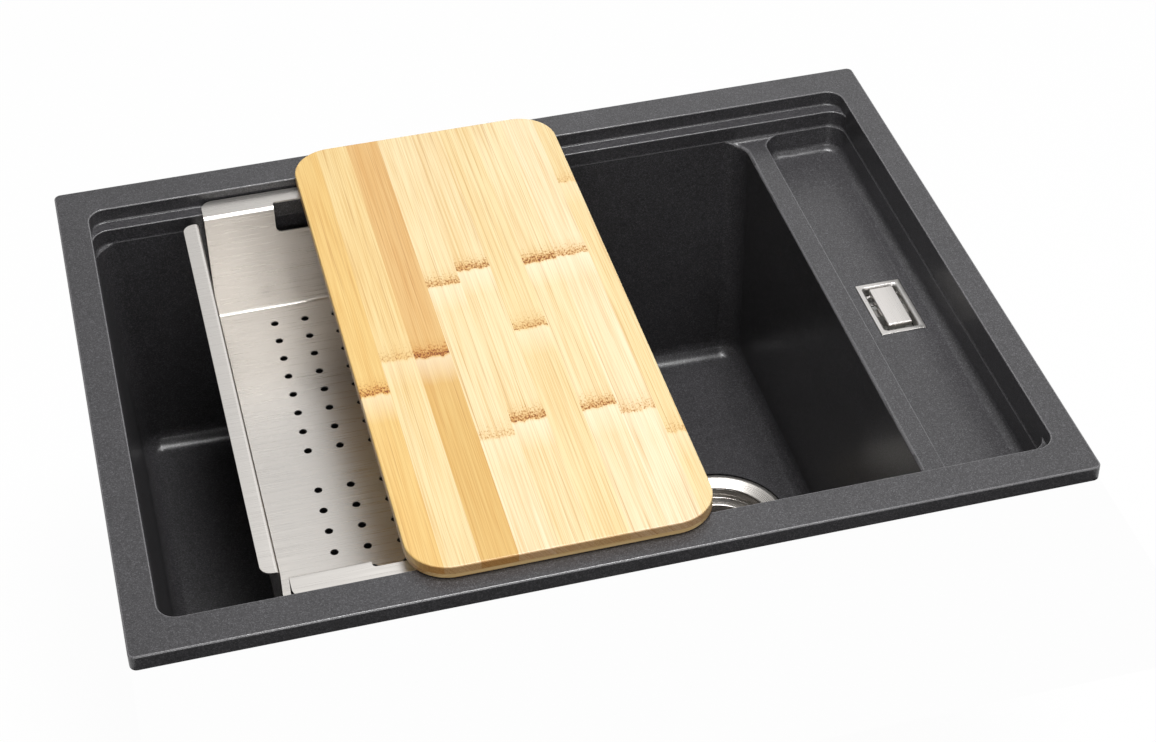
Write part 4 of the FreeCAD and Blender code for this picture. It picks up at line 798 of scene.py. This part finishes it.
def paperWhite(name, colour, ownWhite, glossWhite):
    # white card: part of its white is its own for the eye, so that soft shadows stay faint
    material, tree, shader = newMaterial(name)
    shader.inputs["Base Color"].default_value = toLinear(colour)
    shader.inputs["Roughness"].default_value = 0.9
    shader.inputs["Specular IOR Level"].default_value = 0.0
    rays = addNode(tree, "ShaderNodeLightPath")
    mirrored = addNode(tree, "ShaderNodeMath", {0: rays.outputs["Is Glossy Ray"],
                                                1: rays.outputs["Is Transmission Ray"]}, operation="MAXIMUM")
    inGloss = addNode(tree, "ShaderNodeMath", {0: mirrored.outputs[0], 1: glossWhite}, operation="MULTIPLY")
    share = addNode(tree, "ShaderNodeMath", {0: rays.outputs["Is Camera Ray"], 1: ownWhite,
                                             2: inGloss.outputs[0]}, operation="MULTIPLY_ADD")
    glow = addNode(tree, "ShaderNodeEmission", {"Color": (1, 1, 1, 1), "Strength": 1.0})
    mix = addNode(tree, "ShaderNodeMixShader", {0: share.outputs[0], 1: shader.outputs[0],
                                                2: glow.outputs[0]})
    tree.links.new(mix.outputs[0], tree.nodes["Material Output"].inputs["Surface"])
    return material


def stagePlane(name, lowX, highX, lowY, highY, height, material):
    shape = bmesh.new()
    bmesh.ops.create_grid(shape, x_segments=1, y_segments=1, size=0.5)
    bmesh.ops.scale(shape, verts=shape.verts, vec=(highX - lowX, highY - lowY, 1))
    bmesh.ops.translate(shape, verts=shape.verts, vec=((lowX + highX) / 2, (lowY + highY) / 2, height))
    mesh = bpy.data.meshes.new(name)
    shape.to_mesh(mesh)
    shape.free()
    plane = bpy.data.objects.new(name, mesh)
    plane.data.materials.append(material)
    bpy.context.scene.collection.objects.link(plane)
    return plane


white = paperWhite("whiteCard", stageLook["floorColour"], stageLook["ownWhite"], stageLook["ownWhite"])
tableWhite = paperWhite("whiteTable", stageLook["cardColour"], stageLook["cardOwn"], stageLook["cardGloss"])
low, high = cadBox
half = stageLook["floorSide"] / 2
stagePlane("floor", -half, half, -half, half, low.z - stageLook["floorGap"], white)
sinkLow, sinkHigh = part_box("sink_body")
# a white card before the sink, level with its rim: the photograph shows nothing of the bowl's outside
card = stagePlane("worktopFront", sinkLow.x, sinkHigh.x, sinkLow.y - stageLook["cardReach"],
                  sinkLow.y + stageLook["cardUnder"], -stageLook["cardSink"], tableWhite)
card.visible_shadow = False

worldLook = {"strength": 0.08, "leftShare": 0.5, "leftFrom": -0.05, "leftTo": 0.12}
world = bpy.data.worlds.new("studio")
world.use_nodes = True
bpy.context.scene.world = world
tree = world.node_tree
background = tree.nodes["Background"]
rays = addNode(tree, "ShaderNodeLightPath")
seen = addNode(tree, "ShaderNodeMath", {0: rays.outputs["Is Camera Ray"], 1: rays.outputs["Is Glossy Ray"]},
               operation="ADD")
seen = addNode(tree, "ShaderNodeMath", {0: seen.outputs[0], 1: rays.outputs["Is Transmission Ray"]},
               operation="ADD")
strength = addNode(tree, "ShaderNodeMapRange", {"Value": seen.outputs[0], "To Min": worldLook["strength"],
                                                "To Max": 1.0})
# in reflections the studio falls off towards the left, down to the share named above
heading = addNode(tree, "ShaderNodeSeparateXYZ",
                  {"Vector": addNode(tree, "ShaderNodeTexCoord").outputs["Generated"]})
falloff = addNode(tree, "ShaderNodeMapRange", {"Value": heading.outputs["X"],
                                               "From Min": worldLook["leftFrom"],
                                               "From Max": worldLook["leftTo"],
                                               "To Min": worldLook["leftShare"], "To Max": 1.0})
inGloss = addNode(tree, "ShaderNodeMix", {"Factor": rays.outputs["Is Glossy Ray"], 2: 1.0,
                                          3: falloff.outputs["Result"]})
level = addNode(tree, "ShaderNodeMath", {0: strength.outputs["Result"], 1: inGloss.outputs[0]},
                operation="MULTIPLY")
background.inputs["Color"].default_value = (1, 1, 1, 1)
tree.links.new(level.outputs[0], background.inputs["Strength"])

lampTable = [
    # name, place, aimed at, width, depth, watts
    ("overheadBox", (0.27, 0.1, 2.4), (0.0, 0.0, 0.0), 0.9, 0.9, 61.0),
    ("frontBox", (-0.1, -2.05, 0.85), (0.0, 0.0, 0.0), 1.4, 0.6, 15.5),
]
for name, place, aim, width, depth, watts in lampTable:
    lampData = bpy.data.lights.new(name, "AREA")
    lampData.shape = "RECTANGLE"
    lampData.size = width
    lampData.size_y = depth
    lampData.energy = watts
    lamp = bpy.data.objects.new(name, lampData)
    lamp.location = place
    lamp.rotation_euler = (Vector(aim) - Vector(place)).to_track_quat("-Z", "Y").to_euler()
    bpy.context.scene.collection.objects.link(lamp)
bpy.context.scene.view_settings.view_transform = "Standard"
print("stage and lamps set")
